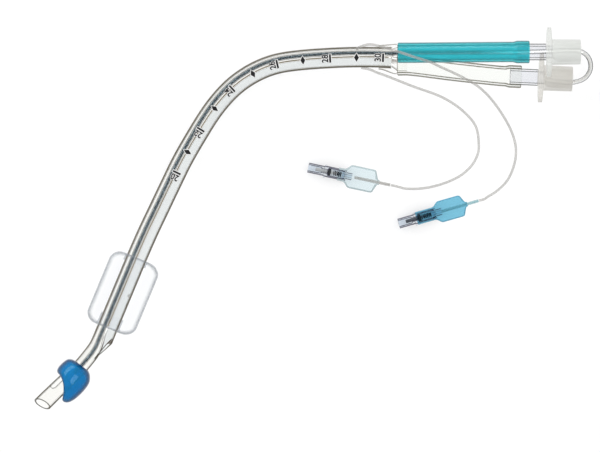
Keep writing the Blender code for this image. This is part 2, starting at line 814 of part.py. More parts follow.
def build_connector(name, stem_end, angle, material):
    """One moulding: stem, ringed flange with two wings, and the tapered 15 mm male end."""
    frame = place_frame(name + "_frame", stem_end, connector_heading(angle))
    face = STEM_LENGTH + FLANGE_THICKNESS
    end = face + BARREL_LENGTH
    profile = (
        (0, end),
        (BARREL_RADIUS - EDGE_CHAMFER, end),
        (BARREL_RADIUS, end - EDGE_CHAMFER),
        (BARREL_ROOT_RADIUS, face),
        (FLANGE_RING_RADIUS, face),
        (FLANGE_RING_RADIUS, STEM_LENGTH),
        (STEM_RADIUS, STEM_LENGTH),
        (STEM_RADIUS, EDGE_CHAMFER),
        (STEM_RADIUS - EDGE_CHAMFER, 0),
        (0, 0),
    )
    connector = place_turned(name, profile, CONNECTOR_SIDES, parts, material, frame, closed=False)
    add_boolean(connector, flange_wings(name + "_wings", frame), "UNION")
    step = end - BARREL_BORE_DEPTH
    bore = (
        (0, end + CUT_PAST),
        (BARREL_BORE, end + CUT_PAST),
        (BARREL_BORE, step),
        (STEM_RADIUS - STEM_WALL, step - BORE_TAPER),
        (STEM_RADIUS - STEM_WALL, -CUT_PAST),
        (0, -CUT_PAST),
    )
    add_boolean(connector, turned_cutter(name + "_bore", bore, BORE_SIDES, frame), "DIFFERENCE")


def stylet_route():
    """From the hook in the tracheal connector, round the loop and down the bronchial lumen."""
    points = list(STYLET_LOOP)
    for distance in bronchial_route.stations(STYLET_START, bronchial_route.length - STYLET_END_FROM_TIP):
        place, heading, side, up = bronchial_route.frame(distance)
        rise = STYLET_RISE * (1 - ease(distance / STYLET_RISE_LENGTH))
        offset = STYLET_OFFSET * (1 - roundness(distance))
        points.append(place + side * offset + up * rise)
    return Route(points)


def build_stylet():
    """A bare wire end shows at the hook. At its far end the sheath is closed over the wire."""
    route = stylet_route()
    core_end = route.length - SHEATH_END_WALL - GAP
    core_stations = route.stations(GAP, core_end, sharpest=STYLET_TURN)
    core_rings = [ring(route, distance, disc(CORE_RADIUS, 6)) for distance in core_stations]
    place_object("stylet_core", skin("stylet_core", core_rings), parts, soft_metal)
    bore = CORE_RADIUS + CORE_PLAY
    stations = route.stations(0, route.length, sharpest=STYLET_TURN)
    outer = [ring(route, distance, disc(bore + SHEATH_WALL, 8)) for distance in stations]
    bore_stations = stations[:-1] + [route.length - SHEATH_END_WALL]
    inner = [ring(route, distance, disc(bore, 8)) for distance in bore_stations]
    place_object("stylet_sheath", shell("stylet_sheath", outer, inner, blind=True), parts, sheath_vinyl)


def build_housing(prefix, frame):
    """The clear moulding: syringe mouth, floor with a hole, seat, spring chamber and two lugs."""
    profile = (
        (LUER_BORE, 0),
        (LUER_RADIUS, 0),
        (LUER_RADIUS, LUG_HEIGHT),
        (VALVE_RADIUS, LUG_HEIGHT),
        (VALVE_RADIUS, VALVE_LENGTH),
        (CHAMBER_RADIUS, VALVE_LENGTH),
        (CHAMBER_RADIUS, CHAMBER_HEIGHT),
        (SEAT_HOLE, SEAT_HEIGHT),
        (SEAT_HOLE, LUER_BORE_DEPTH + LUER_FLOOR),
        (LUER_BORE - LUER_TAPER, LUER_BORE_DEPTH),
    )
    name = prefix + "_valve_housing"
    housing = place_turned(name, profile[::-1], VALVE_SIDES, parts, hard_clear, frame)
    lugs = bmesh.new()
    bmesh.ops.create_cube(lugs, size=1.0)
    bmesh.ops.scale(lugs, vec=(LUG_SPAN, LUG_WIDTH, LUG_THICKNESS), verts=lugs.verts)
    bmesh.ops.translate(lugs, vec=(0, 0, LUG_HEIGHT + LUG_THICKNESS / 2), verts=lugs.verts)
    lug_mesh = bpy.data.meshes.new(prefix + "_lugs")
    lugs.to_mesh(lug_mesh)
    lugs.free()
    add_boolean(housing, place_cutter(prefix + "_lugs", lug_mesh, frame), "UNION")
    way = (
        (0, SEAT_HEIGHT),
        (SEAT_HOLE, SEAT_HEIGHT),
        (SEAT_HOLE, LUER_BORE_DEPTH + LUER_FLOOR),
        (0, LUER_BORE_DEPTH + LUER_FLOOR),
    )
    add_boolean(housing, turned_cutter(prefix + "_valve_way", way, VALVE_SIDES, frame), "DIFFERENCE")


def build_spring(prefix, frame, low, high):
    """A coil of round wire between two heights of the spring chamber."""
    coil = bpy.data.curves.new(prefix + "_valve_spring", "CURVE")
    coil.dimensions = "3D"
    coil.bevel_depth = SPRING_WIRE / 2
    coil.bevel_resolution = 1
    coil.use_fill_caps = True
    spline = coil.splines.new("POLY")
    steps = SPRING_TURNS * SPRING_STEPS
    spline.points.add(steps)
    for step in range(steps + 1):
        turn = 2 * math.pi * step / SPRING_STEPS
        across, up = SPRING_RADIUS * math.cos(turn), SPRING_RADIUS * math.sin(turn)
        spline.points[step].co = (across, up, low + (high - low) * step / steps, 1)
    coil.materials.append(spring_steel)
    spring = bpy.data.objects.new(prefix + "_valve_spring", coil)
    spring.parent = frame
    parts.objects.link(spring)


def build_valve(prefix, frame):
    """A spring check valve: a syringe pushes its plunger in and lifts the seal from its seat."""
    build_housing(prefix, frame)

    slope = (CHAMBER_HEIGHT - SEAT_HEIGHT) / (CHAMBER_RADIUS - SEAT_HOLE)
    seal_front = SEAT_HEIGHT + GAP * math.hypot(1, slope)
    seal_back = seal_front + SEAL_THICKNESS
    seal_profile = (
        (PLUNGER_NECK + GAP, seal_front),
        (SEAT_HOLE, seal_front),
        (SEAL_RADIUS, seal_front + (SEAL_RADIUS - SEAT_HOLE) * slope),
        (SEAL_RADIUS, seal_back),
        (PLUNGER_NECK + GAP, seal_back),
    )
    place_turned(prefix + "_valve_seal", seal_profile[::-1], SEAL_SIDES, parts, black_rubber, frame)

    top = SYRINGE_DEPTH - PLUNGER_TRAVEL
    head = seal_back + GAP
    head_back = head + PLUNGER_HEAD_THICKNESS
    pin_end = head_back + PLUNGER_PIN_LENGTH
    plunger_profile = (
        (0, top),
        (PLUNGER_RADIUS, top),
        (PLUNGER_RADIUS, seal_front - GAP),
        (PLUNGER_NECK, seal_front - GAP),
        (PLUNGER_NECK, head),
        (PLUNGER_HEAD, head),
        (PLUNGER_HEAD, head_back),
        (PLUNGER_PIN, head_back),
        (PLUNGER_PIN, pin_end),
        (0, pin_end),
    )
    name = prefix + "_valve_plunger"
    place_turned(name, plunger_profile[::-1], PLUNGER_SIDES, parts, grey_plastic, frame, closed=False)

    plug_front = VALVE_LENGTH - PLUG_DEPTH
    flange = VALVE_LENGTH + GAP
    plug_profile = (
        (TAIL_BORE, plug_front),
        (CHAMBER_RADIUS - GAP, plug_front),
        (CHAMBER_RADIUS - GAP, flange),
        (PLUG_FLANGE_RADIUS, flange),
        (PLUG_FLANGE_RADIUS, flange + PLUG_FLANGE),
        (TAIL_RADIUS, flange + PLUG_FLANGE),
        (TAIL_RADIUS, TAIL_END),
        (TAIL_BORE, TAIL_END),
    )
    place_turned(prefix + "_valve_tail", plug_profile[::-1], TAIL_SIDES, parts, hard_clear, frame)
    wire_gap = GAP + SPRING_WIRE / 2
    build_spring(prefix, frame, head_back + wire_gap, plug_front - wire_gap)


def balloon_exit(pilot):
    """The height where the balloon has narrowed to the sleeve's neck."""
    return VALVE_LENGTH + PILOT_EDGE + 2 * PILOT_SHOULDER + pilot["length"]


def build_pilot(prefix, pilot, film):
    """A check valve, a flat film balloon behind it, and the sleeve that joins the thin line."""
    mouth = Vector((*pilot["mouth"], PILOT_HEIGHT))
    frame = place_frame(prefix + "_pilot_frame", mouth, connector_heading(pilot["heading"]))
    build_valve(prefix, frame)

    neck = VALVE_RADIUS + GAP + PILOT_FILM
    exit_neck = SLEEVE_RADIUS + GAP + PILOT_FILM
    exit_height = balloon_exit(pilot)
    shoulder = VALVE_LENGTH + PILOT_EDGE + PILOT_SHOULDER
    far_shoulder = exit_height - PILOT_SHOULDER
    wide = pilot["half_width"]
    high = wide * PILOT_FLATNESS
    rows = (
        (VALVE_LENGTH - pilot["neck"], neck, neck),
        (VALVE_LENGTH + PILOT_EDGE / 2, neck, neck),
        (shoulder - PILOT_EDGE, wide - PILOT_EDGE, high - PILOT_EDGE / 2),
        (shoulder + PILOT_EDGE, wide, high),
        ((shoulder + far_shoulder) / 2, wide, high),
        (far_shoulder - PILOT_EDGE, wide, high),
        (far_shoulder + PILOT_EDGE, wide - PILOT_EDGE, high - PILOT_EDGE),
        (exit_height, exit_neck, exit_neck),
        (exit_height + PILOT_EXIT_NECK, exit_neck, exit_neck),
    )
    rings = []
    for height, across, up in rows:
        rings.append([Vector((-x * across, y * up, height)) for x, y in disc(1.0, PILOT_SIDES)])
    name = prefix + "_pilot_balloon"
    balloon = place_object(name, skin(name, rings, ends=False), parts, film, frame)
    add_solidify(balloon, PILOT_FILM)

    sleeve_start = TAIL_END + pilot["sleeve_gap"]
    sleeve_end = exit_height + pilot["sleeve_out"]
    sleeve_profile = (
        (SLEEVE_BORE, sleeve_start),
        (SLEEVE_RADIUS, sleeve_start),
        (SLEEVE_RADIUS, sleeve_end),
        (SLEEVE_BORE, sleeve_end),
    )
    place_turned(prefix + "_inlet_sleeve", sleeve_profile[::-1], SLEEVE_SIDES, parts, line_vinyl, frame)


def line_route(points, pilot):
    """The line's own points, then straight into the end of its sleeve."""
    ahead = connector_heading(pilot["heading"])
    end = Vector((*pilot["mouth"], PILOT_HEIGHT)) + ahead * (balloon_exit(pilot) + pilot["sleeve_out"] + GAP)
    return Route(list(points) + [end + ahead * LINE_LEAD, end])


def build_line(name, route):
    """The thin inflation line, as one round cord along its route."""
    curve = bpy.data.curves.new(name, "CURVE")
    curve.dimensions = "3D"
    curve.bevel_depth = LINE_RADIUS
    curve.bevel_resolution = 2
    curve.use_fill_caps = True
    spline = curve.splines.new("POLY")
    count = int(route.length / LINE_SPACING)
    spline.points.add(count)
    for step in range(count + 1):
        spline.points[step].co = (*route.place(route.length * step / count), 1)
    curve.materials.append(line_vinyl)
    parts.objects.link(bpy.data.objects.new(name, curve))


def hang_on_origin():
    """Parent every piece and cutter to one empty that carries the shift."""
    base = bpy.data.objects.new("tube_base", None)
    base.location = ORIGIN_SHIFT
    parts.objects.link(base)
    for piece in list(parts.objects) + list(cutters.objects):
        if piece.parent is None and piece is not base:
            piece.parent = base


clear_scene()
parts = make_collection("endobronchial_tube")
cutters = make_collection("cutters")

clear_vinyl = make_material("clear_vinyl", (0.93, 0.94, 0.92), 0.12, alpha=0.45)
limb_vinyl = make_material("limb_vinyl", (0.90, 0.92, 0.90), 0.12, alpha=0.5)
sheath_vinyl = make_material("sheath_vinyl", (0.90, 0.92, 0.93), 0.12, alpha=0.5)
cuff_film = make_material("cuff_film", (0.88, 0.91, 0.95), 0.15, alpha=0.35)
blue_film = make_material("blue_film", (0.02, 0.25, 0.55), 0.15)
teal_vinyl = make_material("teal_vinyl", (0.03, 0.42, 0.52), 0.25, alpha=0.9)
milky_plastic = make_material("milky_plastic", (0.82, 0.83, 0.80), 0.3, alpha=0.85)
soft_metal = make_material("soft_metal", (0.45, 0.48, 0.50), 0.35, metallic=1.0)
hard_clear = make_material("hard_clear", (0.85, 0.87, 0.93), 0.1, alpha=0.4)
black_rubber = make_material("black_rubber", (0.02, 0.02, 0.02), 0.5)
grey_plastic = make_material("grey_plastic", (0.45, 0.46, 0.48), 0.4)
spring_steel = make_material("spring_steel", (0.5, 0.5, 0.52), 0.25, metallic=1.0)
pilot_clear_film = make_material("pilot_clear_film", (0.83, 0.93, 0.96), 0.15, alpha=0.5)
pilot_blue_film = make_material("pilot_blue_film", (0.22, 0.58, 0.76), 0.2, alpha=0.75)
line_vinyl = make_material("line_vinyl", (0.82, 0.81, 0.78), 0.3, alpha=0.7)

tracheal_route = Route(SHAFT_ROUTE + TRACHEAL_END_ROUTE)
bronchial_route = Route(SHAFT_ROUTE + BRONCHIAL_END_ROUTE)
double_end = tracheal_route.knots[len(SHAFT_ROUTE) - 1]
mouth_start = double_end + MOUTH_LEAD
round_from = bronchial_route.knots[len(SHAFT_ROUTE) - 1]
round_to = bronchial_route.knots[len(SHAFT_ROUTE) + 1]
tracheal_line = line_route(TRACHEAL_LINE_ROUTE, TRACHEAL_PILOT)
bronchial_line = line_route(BRONCHIAL_LINE_ROUTE, BRONCHIAL_PILOT)

build_shaft()
build_tracheal_cuff()
build_bronchial_cuff()
build_collar()
build_limb("bronchial_limb", BRONCHIAL_SPIGOT, BRONCHIAL_STEM_END, BRONCHIAL_HEADING, teal_vinyl)
build_limb("tracheal_limb", TRACHEAL_SPIGOT, TRACHEAL_STEM_END, TRACHEAL_HEADING, limb_vinyl)
build_connector("bronchial_connector", BRONCHIAL_STEM_END, BRONCHIAL_HEADING, milky_plastic)
build_connector("tracheal_connector", TRACHEAL_STEM_END, TRACHEAL_HEADING, milky_plastic)
build_stylet()
build_pilot("tracheal", TRACHEAL_PILOT, pilot_clear_film)
build_pilot("bronchial", BRONCHIAL_PILOT, pilot_blue_film)
build_line("tracheal_pilot_line", tracheal_line)
build_line("bronchial_pilot_line", bronchial_line)
hang_on_origin()
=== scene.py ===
import math

import bmesh
import bpy
from mathutils import Matrix, Vector
from mathutils.geometry import interpolate_bezier


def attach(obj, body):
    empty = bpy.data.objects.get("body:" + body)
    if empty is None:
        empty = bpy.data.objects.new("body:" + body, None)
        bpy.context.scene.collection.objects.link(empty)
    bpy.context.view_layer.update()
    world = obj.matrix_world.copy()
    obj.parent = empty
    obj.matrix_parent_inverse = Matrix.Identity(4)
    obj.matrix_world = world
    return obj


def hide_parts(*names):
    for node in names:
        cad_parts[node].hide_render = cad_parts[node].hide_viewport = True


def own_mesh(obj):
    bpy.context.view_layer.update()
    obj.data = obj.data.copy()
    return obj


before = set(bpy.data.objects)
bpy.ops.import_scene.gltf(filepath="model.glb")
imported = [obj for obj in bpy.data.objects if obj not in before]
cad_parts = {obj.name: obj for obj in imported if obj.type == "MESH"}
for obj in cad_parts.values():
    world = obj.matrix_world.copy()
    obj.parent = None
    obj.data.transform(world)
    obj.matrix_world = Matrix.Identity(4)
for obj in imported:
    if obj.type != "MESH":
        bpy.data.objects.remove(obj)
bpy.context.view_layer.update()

# Studio: the tube lies on a pale floor and is photographed from high above through a long lens, with white
# light from all round. A large softbox at the upper left draws the highlights along the tubes.
scene = bpy.context.scene
scene.view_settings.view_transform = "Standard"
scene.cycles.transparent_max_bounces = 64

bpy.ops.object.camera_add(location=(-0.0083, -0.0046, 3.015), rotation=(0, 0, 0))
camera = bpy.context.object
camera.name = "overhead_camera"
camera.data.lens = 300
camera.data.sensor_width = 36
camera.data.clip_start = 0.01
scene.camera = camera

world = bpy.data.worlds.new("white_studio")
world.use_nodes = True
world.node_tree.nodes["Background"].inputs["Color"].default_value = (1, 1, 1, 1)
world.node_tree.nodes["Background"].inputs["Strength"].default_value = 0.69
scene.world = world


def add_softbox(name, place, width, height, watts):
    """A soft area light that looks at the middle of the floor."""
    bpy.ops.object.light_add(type="AREA", location=place)
    softbox = bpy.context.object
    softbox.name = name
    softbox.data.shape = "RECTANGLE"
    softbox.data.size = width
    softbox.data.size_y = height
    softbox.data.energy = watts
    softbox.rotation_euler = (-Vector(place)).to_track_quat("-Z", "Y").to_euler()


add_softbox("upper_left_softbox", (-0.72, 1.05, 0.80), 2.0, 0.6, 11.5)
add_softbox("overhead_softbox", (0.35, -0.25, 1.6), 0.9, 0.9, 6.6)



def add_node(nodes, kind, values=None, tree=None):
    """A new shader node, with the inputs that values names set to them, and its group where it has one."""
    node = nodes.new("ShaderNode" + kind)
    if tree:
        node.node_tree = tree
    for name, value in (values or {}).items():
        node.inputs[name].default_value = value
    return node


def tone_ramp(nodes, tones, positions):
    """A ramp from one colour to another."""
    ramp = nodes.new("ShaderNodeValToRGB")
    for element, position, colour in zip(ramp.color_ramp.elements, positions, tones):
        element.position = position
        element.color = (*colour, 1)
    return ramp


def new_material(name):
    """A new material, with its nodes, its links and its Principled shader."""
    material = bpy.data.materials.new(name)
    material.use_nodes = True
    nodes = material.node_tree.nodes
    return material, nodes, material.node_tree.links, nodes["Principled BSDF"]


bpy.ops.object.select_all(action="DESELECT")
bpy.ops.mesh.primitive_plane_add(size=5)
floor = bpy.context.object
floor.name = "floor"
floor_paint, nodes, links, shader = new_material("matt_white_floor")
shader.inputs["Roughness"].default_value = 0.9
shader.inputs["Specular IOR Level"].default_value = 0.1
grain = add_node(nodes, "TexNoise", {"Scale": 3.0})
tone = tone_ramp(nodes, ((0.945, 0.945, 0.945), (0.96, 0.96, 0.96)), (0.0, 1.0))
spot = add_node(nodes, "TexCoord")
links.new(spot.outputs["Object"], grain.inputs["Vector"])
links.new(grain.outputs["Fac"], tone.inputs["Fac"])
links.new(tone.outputs["Color"], shader.inputs["Base Color"])
floor.data.materials.append(floor_paint)

# Pilot lines: two thin PVC inflation lines that leave the wall of the shaft and run to the pilot balloons.
# They are extruded tube, glued into a notch of the shaft at one end and into a sleeve at the other.
SHIFT = Vector((-0.0005, -0.0001, -0.0001))
LINE_RADIUS = 0.00075
PILOT_HEIGHT = 0.0041
GAP = 0.0003
TRACHEAL_PILOT = {
    "mouth": (-0.0029, 0.0307), "turn": math.radians(-12), "line_end": 0.0508, "sleeve": (0.0286, 0.0505),
    "neck": 0.0040, "half_width": 0.0071, "exit": 0.0428,
}
BRONCHIAL_PILOT = {
    "mouth": (0.0516, -0.0031), "turn": math.radians(16), "line_end": 0.0504, "sleeve": (0.0272, 0.0501),
    "neck": 0.0112, "half_width": 0.0066, "exit": 0.0420,
}
TRACHEAL_LINE = (
    (0.0290, 0.0906, 0.0102), (0.0340, 0.0897, 0.0093), (0.0385, 0.0878, 0.0077), (0.0430, 0.0863, 0.0060),
    (0.0606, 0.0795, 0.0022), (0.0764, 0.0738, 0.0010), (0.0870, 0.0676, 0.0009), (0.0958, 0.0593, 0.0009),
    (0.0990, 0.0531, 0.0009), (0.1000, 0.0427, 0.0009), (0.0989, 0.0376, 0.0009), (0.0953, 0.0315, 0.0010),
    (0.0880, 0.0253, 0.0013), (0.0771, 0.0206, 0.0020), (0.0662, 0.0182, 0.0030), (0.0560, 0.0180, 0.0038),
)
BRONCHIAL_LINE = (
    (0.0262, 0.1021, 0.0146), (0.0300, 0.1036, 0.0158), (0.0342, 0.1044, 0.0174), (0.0402, 0.1032, 0.0203),
    (0.0462, 0.1012, 0.0236), (0.0510, 0.0998, 0.0253), (0.0600, 0.0967, 0.0258), (0.0702, 0.0935, 0.0242),
    (0.0760, 0.0909, 0.0214), (0.0840, 0.0874, 0.0180), (0.0925, 0.0833, 0.0144), (0.1002, 0.0786, 0.0101),
    (0.1080, 0.0711, 0.0042), (0.1160, 0.0597, 0.0016), (0.1206, 0.0501, 0.0009), (0.1224, 0.0411, 0.0009),
    (0.1212, 0.0321, 0.0010), (0.1172, 0.0231, 0.0017), (0.1104, 0.0163, 0.0030), (0.1046, 0.0127, 0.0038),
)


class Route:
    """A smooth curve through chosen points, read by the distance along it."""

    def __init__(self, points):
        points = [Vector(point) for point in points]
        aims = []
        for index in range(len(points)):
            before = points[max(index - 1, 0)]
            after = points[min(index + 1, len(points) - 1)]
            aims.append((after - before).normalized())
        self.places = [points[0]]
        self.distances = [0.0]
        self.knots = [0.0]
        for start, end, aim, next_aim in zip(points, points[1:], aims, aims[1:]):
            reach = (end - start).length / 3
            for place in interpolate_bezier(start, start + aim * reach, end - next_aim * reach, end, 17)[1:]:
                self.distances.append(self.distances[-1] + (place - self.places[-1]).length)
                self.places.append(place)
            self.knots.append(self.distances[-1])
        self.length = self.distances[-1]

    def place(self, distance):
        """The point at a distance, straight on past either end."""
        if distance <= 0:
            return self.places[0] + (self.places[1] - self.places[0]).normalized() * distance
        if distance >= self.length:
            past = distance - self.length
            return self.places[-1] + (self.places[-1] - self.places[-2]).normalized() * past
        index = next(index for index, reached in enumerate(self.distances) if reached >= distance)
        stretch = self.distances[index] - self.distances[index - 1]
        share = (distance - self.distances[index - 1]) / stretch
        return self.places[index - 1].lerp(self.places[index], share)

    def frame(self, distance, reach=0.0015):
        """The place, the heading, the level direction to the outer side and the one upwards."""
        heading = (self.place(distance + reach) - self.place(distance - reach)).normalized()
        side = heading.cross(Vector((0, 0, 1))).normalized()
        return self.place(distance), heading, side, side.cross(heading)

    def steps(self, start, end, step):
        """Distances from start to end that are about a step apart."""
        count = max(int(round((end - start) / step)), 1)
        return [start + (end - start) * index / count for index in range(count + 1)]


def heading_of(turn):
    return Vector((math.cos(turn), math.sin(turn), 0))


def pilot_point(pilot, height):
    """A point on the axis of a pilot assembly, at a distance from its syringe mouth."""
    mouth = Vector((*pilot["mouth"], PILOT_HEIGHT))
    return mouth + heading_of(pilot["turn"]) * height + SHIFT


def new_object(name, data):
    """A new object of the scene, at the origin."""
    piece = bpy.data.objects.new(name, data)
    scene.collection.objects.link(piece)
    return piece


def round_curve(name, points, radius, resolution, closed=False):
    """A curve of one spline with a round section, open like a cord or closed like a ring."""
    curve = bpy.data.curves.new(name, "CURVE")
    curve.dimensions = "3D"
    curve.bevel_depth = radius
    curve.bevel_resolution = resolution
    curve.use_fill_caps = not closed
    spline = curve.splines.new("POLY")
    spline.points.add(len(points) - 1)
    for point, place in zip(spline.points, points):
        point.co = (*place, 1)
    spline.use_cyclic_u = closed
    return new_object(name, curve)


def value_group(name, inputs, outputs):
    """A new node group that takes and gives plain values, with its entry and its exit."""
    group = bpy.data.node_groups.new(name, "ShaderNodeTree")
    for direction, sockets in (("INPUT", inputs), ("OUTPUT", outputs)):
        for socket in sockets:
            group.interface.new_socket(socket, in_out=direction, socket_type="NodeSocketFloat")
    return group, group.nodes.new("NodeGroupInput"), group.nodes.new("NodeGroupOutput")


def vinyl_flow_group():
    """The faint flow lines and haze of extruded or dipped vinyl, which its makers can't keep out."""
    group, entry, leave = value_group("vinyl_flow", ("Haze Scale", "Ripple Scale"), ("Haze", "Height"))
    spot = add_node(group.nodes, "TexCoord")
    haze = add_node(group.nodes, "TexNoise", {"Detail": 3.0, "Roughness": 0.55})
    ripple = add_node(group.nodes, "TexNoise", {"Detail": 1.0})
    for noise, scale, result in ((haze, "Haze Scale", "Haze"), (ripple, "Ripple Scale", "Height")):
        group.links.new(spot.outputs["Object"], noise.inputs["Vector"])
        group.links.new(entry.outputs[scale], noise.inputs["Scale"])
        group.links.new(noise.outputs["Fac"], leave.inputs[result])
    return group


def side_shade_group():
    """How far a face leans away from level, the mask of a painted shade that darkens upright faces."""
    group, entry, leave = value_group("painted_side_shade", ("Level", "Upright"), ("Depth",))
    wires = group.links
    spot = add_node(group.nodes, "TexCoord")
    split = add_node(group.nodes, "SeparateXYZ")
    lean = add_node(group.nodes, "Math")
    lean.operation = "ABSOLUTE"
    depth = add_node(group.nodes, "MapRange")
    depth.interpolation_type = "SMOOTHSTEP"
    wires.new(spot.outputs["Normal"], split.inputs["Vector"])
    wires.new(split.outputs["Z"], lean.inputs[0])
    wires.new(lean.outputs["Value"], depth.inputs["Value"])
    wires.new(entry.outputs["Level"], depth.inputs["From Min"])
    wires.new(entry.outputs["Upright"], depth.inputs["From Max"])
    wires.new(depth.outputs["Result"], leave.inputs["Depth"])
    return group


vinyl_flow = vinyl_flow_group()
painted_side_shade = side_shade_group()


def solid_material(
    name, tones, roughness, shine=0.5, metal=0.0, haze_scale=60.0, ripple_scale=400.0, ripple=0.15, side=None
):
    """A material that hides what is behind it, its colour and gloss clouded by the flow of the vinyl. side is
    a darker colour for upright faces, a painted shade."""
    material, nodes, links, shader = new_material(name)
    shader.inputs["Specular IOR Level"].default_value = shine
    shader.inputs["Metallic"].default_value = metal
    scales = {"Haze Scale": haze_scale, "Ripple Scale": ripple_scale}
    flow = add_node(nodes, "Group", scales, vinyl_flow)
    tone = tone_ramp(nodes, tones, (0.3, 0.7))
    gloss = add_node(nodes, "MapRange", {"To Min": roughness[0], "To Max": roughness[1]})
    bump = add_node(nodes, "Bump", {"Strength": ripple, "Distance": 0.0002})
    links.new(flow.outputs["Haze"], tone.inputs["Fac"])
    links.new(flow.outputs["Haze"], gloss.inputs["Value"])
    links.new(gloss.outputs["Result"], shader.inputs["Roughness"])
    links.new(flow.outputs["Height"], bump.inputs["Height"])
    links.new(bump.outputs["Normal"], shader.inputs["Normal"])
    # Painted shade: upright faces are darkened towards the side colour by how far they lean from level.
    if side:
        lean = add_node(nodes, "Group", {"Level": 0.35, "Upright": 0.8}, painted_side_shade)
        shaded_side = nodes.new("ShaderNodeMix")
        shaded_side.data_type = "RGBA"
        shaded_side.inputs["A"].default_value = (*side, 1)
        links.new(lean.outputs["Depth"], shaded_side.inputs["Factor"])
        links.new(tone.outputs["Color"], shaded_side.inputs["B"])
        links.new(shaded_side.outputs["Result"], shader.inputs["Base Color"])
    else:
        links.new(tone.outputs["Color"], shader.inputs["Base Color"])
    return material


def clear_material(name, clear, tones, roughness, face, rim, start=0.35, end=0.85, shine=0.3, **flow):
    """See-through plastic: it lets most light by where it is seen flat on, and is a dark rim edge on."""
    material = solid_material(name, tones, roughness, shine, **flow)
    nodes, links = material.node_tree.nodes, material.node_tree.links
    shader = nodes["Principled BSDF"]
    shader.inputs["IOR"].default_value = 1.5
    through = add_node(nodes, "BsdfTransparent", {"Color": (*clear, 1)})
    slant = add_node(nodes, "LayerWeight", {"Blend": 0.5})
    cover = add_node(nodes, "MapRange", {"From Min": start, "From Max": end, "To Min": face, "To Max": rim})
    cover.interpolation_type = "SMOOTHSTEP"
    mix = add_node(nodes, "MixShader")
    links.new(slant.outputs["Facing"], cover.inputs["Value"])
    links.new(cover.outputs["Result"], mix.inputs["Fac"])
    links.new(through.outputs["BSDF"], mix.inputs[1])
    links.new(shader.outputs["BSDF"], mix.inputs[2])
    links.new(mix.outputs["Shader"], nodes["Material Output"].inputs["Surface"])
    return material


def stand_for(piece, node, body="tube"):
    """Puts a piece in a CAD node's place."""
    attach(piece, body)
    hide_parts(node)


def see_through(piece, node):
    """Puts a piece of clear plastic in a node's place. Light goes through it, so it casts no shadow."""
    piece.visible_shadow = False
    piece.visible_diffuse = False
    stand_for(piece, node)


line_vinyl = clear_material(
    "line_vinyl", (0.965, 0.962, 0.955), ((0.36, 0.352, 0.338), (0.44, 0.43, 0.415)), (0.2, 0.35), 0.4, 0.9,
    0.3, 0.8, shine=0.2
)


def pilot_route(points, pilot):
    """The line's own points, then straight into the end of its sleeve."""
    lead = pilot_point(pilot, pilot["line_end"] + 0.0040)
    end = pilot_point(pilot, pilot["line_end"])
    return Route([Vector(point) + SHIFT for point in points] + [lead, end])


tracheal_line_route = pilot_route(TRACHEAL_LINE, TRACHEAL_PILOT)
bronchial_line_route = pilot_route(BRONCHIAL_LINE, BRONCHIAL_PILOT)
for prefix, route in (("tracheal", tracheal_line_route), ("bronchial", bronchial_line_route)):
    along = [route.place(distance) for distance in route.steps(0, route.length, 0.0012)]
    line = round_curve(prefix + "_line_tube", along, LINE_RADIUS, 6)
    line.data.materials.append(line_vinyl)
    see_through(line, prefix + "_pilot_line")

# Shaft: clear PVC, extruded with two D-shaped lumens parted by a septum. Its outer half ends in the slanted
# tracheal mouth. The other half is drawn on to the round bronchial tip, with its bevelled mouth and side eye.
SHAFT_RADIUS = 0.0062
SHAFT_WALL = 0.0012
SEPTUM = 0.0010
LUMEN_CORNER = 0.0009
SHAFT_ROUTE = (
    (0.0470, 0.0966, 0.0119), (0.0372, 0.0969, 0.0115), (0.0222, 0.0969, 0.0104), (0.0072, 0.0963, 0.0092),
    (-0.0078, 0.0952, 0.0081), (-0.0198, 0.0935, 0.0073), (-0.0288, 0.0908, 0.0068), (-0.0378, 0.0864, 0.0065),
    (-0.0468, 0.0801, 0.0062), (-0.0546, 0.0723, 0.0064), (-0.0618, 0.0630, 0.0067), (-0.0702, 0.0495, 0.0079),
    (-0.0784, 0.0351, 0.0097), (-0.0854, 0.0207, 0.0116), (-0.0922, 0.0063, 0.0133), (-0.0990, -0.0081, 0.0145),
    (-0.1053, -0.0225, 0.0151), (-0.1113, -0.0369, 0.0153), (-0.1173, -0.0513, 0.0154),
    (-0.1233, -0.0657, 0.0157),
)
TRACHEAL_END = ((-0.1271, -0.0748, 0.0161), (-0.1325, -0.0878, 0.0163))
BRONCHIAL_END = (
    (-0.1284, -0.0752, 0.0162), (-0.1339, -0.0822, 0.0166), (-0.1396, -0.0890, 0.0170),
    (-0.1515, -0.1006, 0.0178), (-0.1630, -0.1119, 0.0186),
)
SECTION_RADIUS = 0.0046
SECTION_WALL = 0.0011
SECTION_OVERLAP = 0.0080
SECTION_STEP = 0.00005
TIP_RADIUS = 0.0052
TIP_BEVEL = math.radians(23)
TIP_SLANT = math.radians(13.5)
MOUTH_LEAD = 0.0070
MOUTH_BORE_LENGTH = 0.0125
MOUTH_PINCH = 0.45
SKIVE_LENGTH = 0.0118
SKIVE_SETBACK = 1.7
CUFF_FROM_MOUTH = 0.0298
SIDE_EYE_LENGTH = 0.0130
SIDE_EYE_WIDTH = 0.0044
SIDE_EYE_FROM_TIP = 0.0182
SIDE_EYE_TURN = math.radians(44)
PORT_TURN = math.radians(142)
PORT_DEPTH = 0.0007
RING_STEP = 0.0025
CUT_PAST = 0.002
TIP_LIP = 0.00028
MOUTH_LIP = 0.00025
EYE_LIP = 0.00018
SEPTUM_LINE = 0.00034
SEPTUM_LINE_HEIGHT = 0.0056

